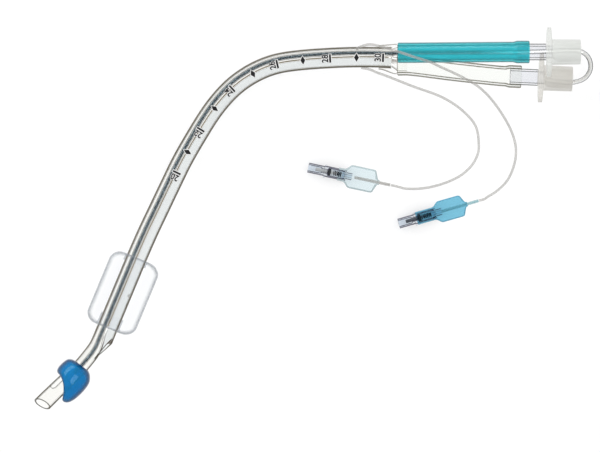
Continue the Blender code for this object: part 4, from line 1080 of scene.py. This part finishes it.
for name, node, stem_end, turn, plastic in (
    ("connector_bronchial", "bronchial_connector", BRONCHIAL_STEM_END, BRONCHIAL_TURN, cool_milky),
    ("connector_tracheal", "tracheal_connector", TRACHEAL_STEM_END, TRACHEAL_TURN, warm_milky),
):
    place = axis_frame(Vector(stem_end) + SHIFT, heading_of(turn))
    face = STEM_LENGTH + FLANGE_THICKNESS
    end = face + BARREL_LENGTH
    step = end - BARREL_BORE_DEPTH
    profile = (
        (0.0058, end), (0.0058, step), (0.0037, step - 0.0030), (0.0037, 0.0), (0.0046, 0.0), (0.0049, 0.0002),
        (0.0050, 0.0006), (0.0050, STEM_LENGTH - 0.0004), (0.0054, STEM_LENGTH), (0.0081, STEM_LENGTH),
        (0.0085, STEM_LENGTH + 0.0004), (0.0085, face - 0.0004), (0.0081, face), (0.0081, face + 0.0001),
        (0.0077, face + 0.0004), (0.0075, end - 0.0005), (0.0073, end - 0.0001), (0.0071, end),
    )
    connector = turned_piece(name, profile, 72, place)
    connector.data.materials.append(plastic)
    wings = flange_wings(place)
    above, below, wide = face + 0.001, STEM_LENGTH - 0.001, 0.0079
    inside = ((0, above), (wide, above), (wide, below), (0, below))
    cut_with(wings, turned_piece("way", inside, 72, place, closed=False))
    wings.data.materials.clear()
    wings.data.materials.append(plastic)
    cut_with(connector, wings, operation="UNION")
    connector.data.materials.append(stem_clear)
    for face_of in connector.data.polygons:
        if (place.inverted() @ face_of.center).z < STEM_LENGTH - 0.0003:
            face_of.material_index = len(connector.data.materials) - 1
    smooth_piece(connector, 40)
    see_through(connector, node)

# Stylet: a soft metal wire in a clear vinyl sheath. It lies in the bronchial lumen and shapes the tube, and
# its upper end is bent round into the other connector. Its colour is painted dark in the tube, as painted
# shade, and light on the loop, as a painted reflection of the white studio.
STYLET_LOOP = (
    (0.1395, 0.0835, 0.0083), (0.1480, 0.0822, 0.0085), (0.1555, 0.0818, 0.0088), (0.1625, 0.0838, 0.0106),
    (0.1662, 0.0885, 0.0136), (0.1662, 0.0940, 0.0172), (0.1635, 0.0982, 0.0200), (0.1590, 0.1004, 0.0212),
    (0.1520, 0.1006, 0.0215), (0.1400, 0.1000, 0.0214), (0.1225, 0.0996, 0.0212), (0.0950, 0.0995, 0.0194),
    (0.0700, 0.0994, 0.0176), (0.0575, 0.0994, 0.0161), (0.0515, 0.0994, 0.0151), (0.0468, 0.0991, 0.0133),
)
CORE_RADIUS = 0.0008
SHEATH_BORE = 0.00103
SHEATH_RADIUS = 0.0014
STYLET_STEP = 0.0016
STYLET_FROM_TIP = 0.0265

points = [Vector(point) + SHIFT for point in STYLET_LOOP]
stylet_start = 0.0070
stylet_end = bronchial_route.length - STYLET_FROM_TIP
for distance in bronchial_route.steps(stylet_start, stylet_end, 0.010):
    place, heading, side, up = bronchial_route.frame(distance)
    rise = 0.0010 * (1 - ease(distance / 0.0250))
    aside = 0.0026 - 0.0004 * ease((distance - 0.10) / 0.08)
    points.append(place + side * aside * (1 - roundness(distance)) + up * rise)
stylet_route = Route(points)

core_metal = solid_material(
    "soft_metal", ((0.075, 0.10, 0.12), (0.115, 0.145, 0.165)), (0.16, 0.24), metal=1.0, haze_scale=200.0,
    ripple_scale=900.0, ripple=0.1
)
nodes, links = core_metal.node_tree.nodes, core_metal.node_tree.links
shader = nodes["Principled BSDF"]
# Painted reflection: the wire's colour turns near white from x 0.098 to 0.118 m on, on the loop out of the
# tube.
spot = add_node(nodes, "TexCoord")
split = add_node(nodes, "SeparateXYZ")
loop_reflection_mask = add_node(nodes, "MapRange", {"From Min": 0.098, "From Max": 0.118})
painted_loop_reflection = add_node(nodes, "Mix")
painted_loop_reflection.data_type = "RGBA"
painted_loop_reflection.inputs["B"].default_value = (0.97, 0.97, 0.95, 1)
links.new(spot.outputs["Object"], split.inputs["Vector"])
links.new(split.outputs["X"], loop_reflection_mask.inputs["Value"])
links.new(loop_reflection_mask.outputs["Result"], painted_loop_reflection.inputs["Factor"])
links.new(shader.inputs["Base Color"].links[0].from_socket, painted_loop_reflection.inputs["A"])
links.new(painted_loop_reflection.outputs["Result"], shader.inputs["Base Color"])
sheath_vinyl = clear_material(
    "sheath_vinyl", (0.998, 0.998, 0.998), ((0.055, 0.06, 0.062), (0.085, 0.092, 0.095)), (0.1, 0.2),
    0.0, 0.95, 0.38, 0.58, shine=0.05
)


def swept_tube(name, route, start, end, step, radius, sides):
    rings = [ring(route, distance, disc(radius, sides)) for distance in route.steps(start, end, step)]
    return skin(name, rings)


core = swept_tube("stylet_wire", stylet_route, GAP, stylet_route.length - 0.0010, STYLET_STEP, CORE_RADIUS, 20)
core.data.materials.append(core_metal)
smooth_piece(core)
stand_for(core, "stylet_core")
sheath = swept_tube("stylet_cover", stylet_route, 0, stylet_route.length, STYLET_STEP, SHEATH_RADIUS, 24)
sheath.data.materials.append(sheath_vinyl)
bore_end = stylet_route.length - 0.0007
cutter = swept_tube("sheath_bore", stylet_route, -0.001, bore_end, STYLET_STEP, SHEATH_BORE, 24)
cut_with(sheath, cutter, sheath_vinyl)
smooth_piece(sheath)
see_through(sheath, "stylet_sheath")

# Pilot valves: a clear moulded housing with a syringe mouth and two lugs, a spring-loaded plunger with a black
# rubber seal, and a plug with the outlet tube that closes the spring chamber. They are pressed together.
VALVE_LENGTH = 0.0224
LUG_SIZE = (0.0080, 0.0026, 0.00095)
LUG_PLACE = 0.01035
SPRING_RADIUS = 0.0015
SPRING_WIRE = 0.00045
SPRING_START = 0.015586
SPRING_LENGTH = 0.004889
SPRING_TURNS = 5
TURN_STEPS = 24
hard_clear = clear_material(
    "hard_clear_plastic", (0.935, 0.957, 0.977), ((0.075, 0.075, 0.11), (0.115, 0.115, 0.16)), (0.05, 0.12),
    0.0, 0.92, 0.27, 0.52, shine=0.1
)
seal_rubber = solid_material(
    "black_rubber", ((0.004, 0.004, 0.0045), (0.010, 0.010, 0.011)), (0.4, 0.55), haze_scale=500.0,
    ripple_scale=1500.0, ripple=0.3
)
spring_steel = solid_material(
    "spring_steel", ((0.006, 0.006, 0.007), (0.025, 0.025, 0.028)), (0.2, 0.3), metal=1.0, haze_scale=800.0,
    ripple_scale=2500.0, ripple=0.2
)
light_plunger, dark_plunger = (
    solid_material(name, tones, (0.35, 0.5), haze_scale=400.0, ripple_scale=1200.0, ripple=0.25)
    for name, tones in (
        ("grey_beige_plastic", ((0.46, 0.45, 0.43), (0.56, 0.55, 0.53))),
        ("dark_grey_plastic", ((0.045, 0.05, 0.06), (0.08, 0.085, 0.10))),
    )
)


def in_mm(*points):
    return [(radius / 1000, height / 1000) for radius, height in points]


def valve_piece(piece, material, node, body="tube"):
    piece.data.materials.clear()
    piece.data.materials.append(material)
    piece.visible_shadow = False
    smooth_piece(piece, 40)
    stand_for(piece, node, body)


for prefix, pilot, stem in (
    ("tracheal", TRACHEAL_PILOT, light_plunger), ("bronchial", BRONCHIAL_PILOT, dark_plunger),
):
    place = axis_frame(pilot_point(pilot, 0), heading_of(pilot["turn"]))
    housing = turned_piece(prefix + "_housing", in_mm(
        (2.15, 0), (3.05, 0), (3.05, 9.8), (3.4, 9.8), (3.4, 22.4), (2.6, 22.4), (2.6, 12.4), (1.4, 11.6),
        (1.4, 8.6), (2.05, 8.0),
    ), 48, place)
    soften(housing, 0.0002)
    bpy.ops.object.select_all(action="DESELECT")
    bpy.ops.mesh.primitive_cube_add(size=1.0)
    lugs = bpy.context.object
    lugs.data.transform(Matrix.Diagonal((*LUG_SIZE, 1)))
    soften(lugs, 0.0002)
    lugs.data.transform(place @ Matrix.Translation((0, 0, LUG_PLACE)))
    cut_with(lugs, turned_piece("way", in_mm((0, 9), (3.2, 9), (3.2, 12), (0, 12)), 48, place, closed=False))
    cut_with(housing, lugs, operation="UNION")
    valve_piece(housing, hard_clear, prefix + "_valve_housing")

    seal = turned_piece(prefix + "_seal", in_mm(
        (1.1, 11.961), (1.4, 11.961), (2.2, 12.494), (2.2, 13.961), (1.1, 13.961)
    ), 40, place)
    soften(seal, 0.00012)
    valve_piece(seal, seal_rubber, prefix + "_valve_seal", prefix + "_plunger")

    plunger = turned_piece(prefix + "_stem", in_mm(
        (0, 4.5), (1.05, 4.5), (1.05, 11.661), (0.8, 11.661), (0.8, 14.261), (1.7, 14.261), (1.7, 15.061),
        (0.7, 15.061), (0.7, 17.461), (0, 17.461),
    ), 40, place, closed=False)
    soften(plunger, 0.0001)
    valve_piece(plunger, stem, prefix + "_valve_plunger", prefix + "_plunger")

    tail = turned_piece(prefix + "_tail", in_mm(
        (0.9, 21.0), (2.3, 21.0), (2.3, 22.7), (3.2, 22.7), (3.2, 23.3), (2.1, 23.3), (2.1, 26.9), (0.9, 26.9),
    ), 40, place)
    soften(tail, 0.00012)
    valve_piece(tail, hard_clear, prefix + "_valve_tail")

    coils = []
    coil_steps = SPRING_TURNS * TURN_STEPS
    for step in range(coil_steps + 1):
        turn = 2 * math.pi * step / TURN_STEPS
        height = SPRING_START + SPRING_LENGTH * step / coil_steps
        coils.append((SPRING_RADIUS * math.cos(turn), SPRING_RADIUS * math.sin(turn), height))
    coil_route = Route(coils)
    spring = swept_tube(prefix + "_spring", coil_route, 0, coil_route.length, 0.0004, SPRING_WIRE / 2, 12)
    spring.data.transform(place)
    valve_piece(spring, spring_steel, prefix + "_valve_spring")
    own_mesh(spring)

# Pilot balloons: flat pillows of thin film with a neck over the valve and a narrow one round the sleeve, clear
# on the tracheal line and blue on the bronchial one. They are blown, and sealed by heat at both necks.
BALLOON_FILM = 0.00025
clear_balloon = clear_material(
    "pilot_clear_film", (0.925, 0.955, 0.963), ((0.42, 0.51, 0.53), (0.50, 0.59, 0.61)), (0.08, 0.18),
    0.0, 0.75, 0.24, 0.45, shine=0.1
)
blue_balloon = clear_material(
    "pilot_blue_film", (0.67, 0.852, 0.913), ((0.10, 0.34, 0.48), (0.15, 0.43, 0.57)), (0.1, 0.2),
    0.0, 0.8, 0.3, 0.6, shine=0.2
)
blue_sleeve = clear_material(
    "blue_sleeve", (0.86, 0.94, 0.95), ((0.22, 0.38, 0.42), (0.29, 0.47, 0.51)), (0.2, 0.35),
    0.25, 0.9, 0.25, 0.7
)


def corners_cut(rows):
    """Rounds off a row of (height, across, up) steps by cutting its corners, and those of the cuts again."""
    for reach in (0.0007, 0.0002):
        cut = [rows[0]]
        for first, second in zip(rows, rows[1:]):
            share = min(0.25, reach / (Vector(second) - Vector(first)).length)
            cut += [Vector(first).lerp(Vector(second), share), Vector(second).lerp(Vector(first), share)]
        rows = cut + [rows[-1]]
    return rows


for prefix, pilot, route, film, tube, slot in (
    ("tracheal", TRACHEAL_PILOT, tracheal_line_route, clear_balloon, line_vinyl, "pilot_clear_film"),
    ("bronchial", BRONCHIAL_PILOT, bronchial_line_route, blue_balloon, blue_sleeve, "pilot_blue_film"),
):
    place = axis_frame(pilot_point(pilot, 0), heading_of(pilot["turn"]))
    neck, exit_neck, wide = 0.00395, 0.0015, pilot["half_width"]
    high, leave = wide * 0.55, pilot["exit"]
    rows = corners_cut([
        (VALVE_LENGTH - pilot["neck"], neck, neck), (VALVE_LENGTH + 0.00025, neck, neck),
        (0.0250, wide - 0.0005, high - 0.00025), (0.0260, wide, high), (leave - 0.0031, wide, high),
        (leave - 0.0021, wide - 0.0005, high - 0.0005), (leave, exit_neck, exit_neck),
        (leave + 0.0010, exit_neck, exit_neck),
    ])
    rings = []
    for height, across, up in rows:
        rings.append([Vector((-x * across, y * up, height)) for x, y in disc(1.0, 64)])
    balloon = skin(prefix + "_balloon", rings, ends=False)
    film_piece(balloon, BALLOON_FILM, film, prefix + "_pilot_balloon", place)

    start, end = pilot["sleeve"]
    outline = [(0.0005, start), (0.00095, start), (0.00095, end), (0.0005, end)]
    sleeve = turned_piece(prefix + "_sleeve", outline, 32, place)
    soften(sleeve, 0.00012)
    sleeve.data.materials.append(tube)
    smooth_piece(sleeve, 40)
    see_through(sleeve, prefix + "_inlet_sleeve")
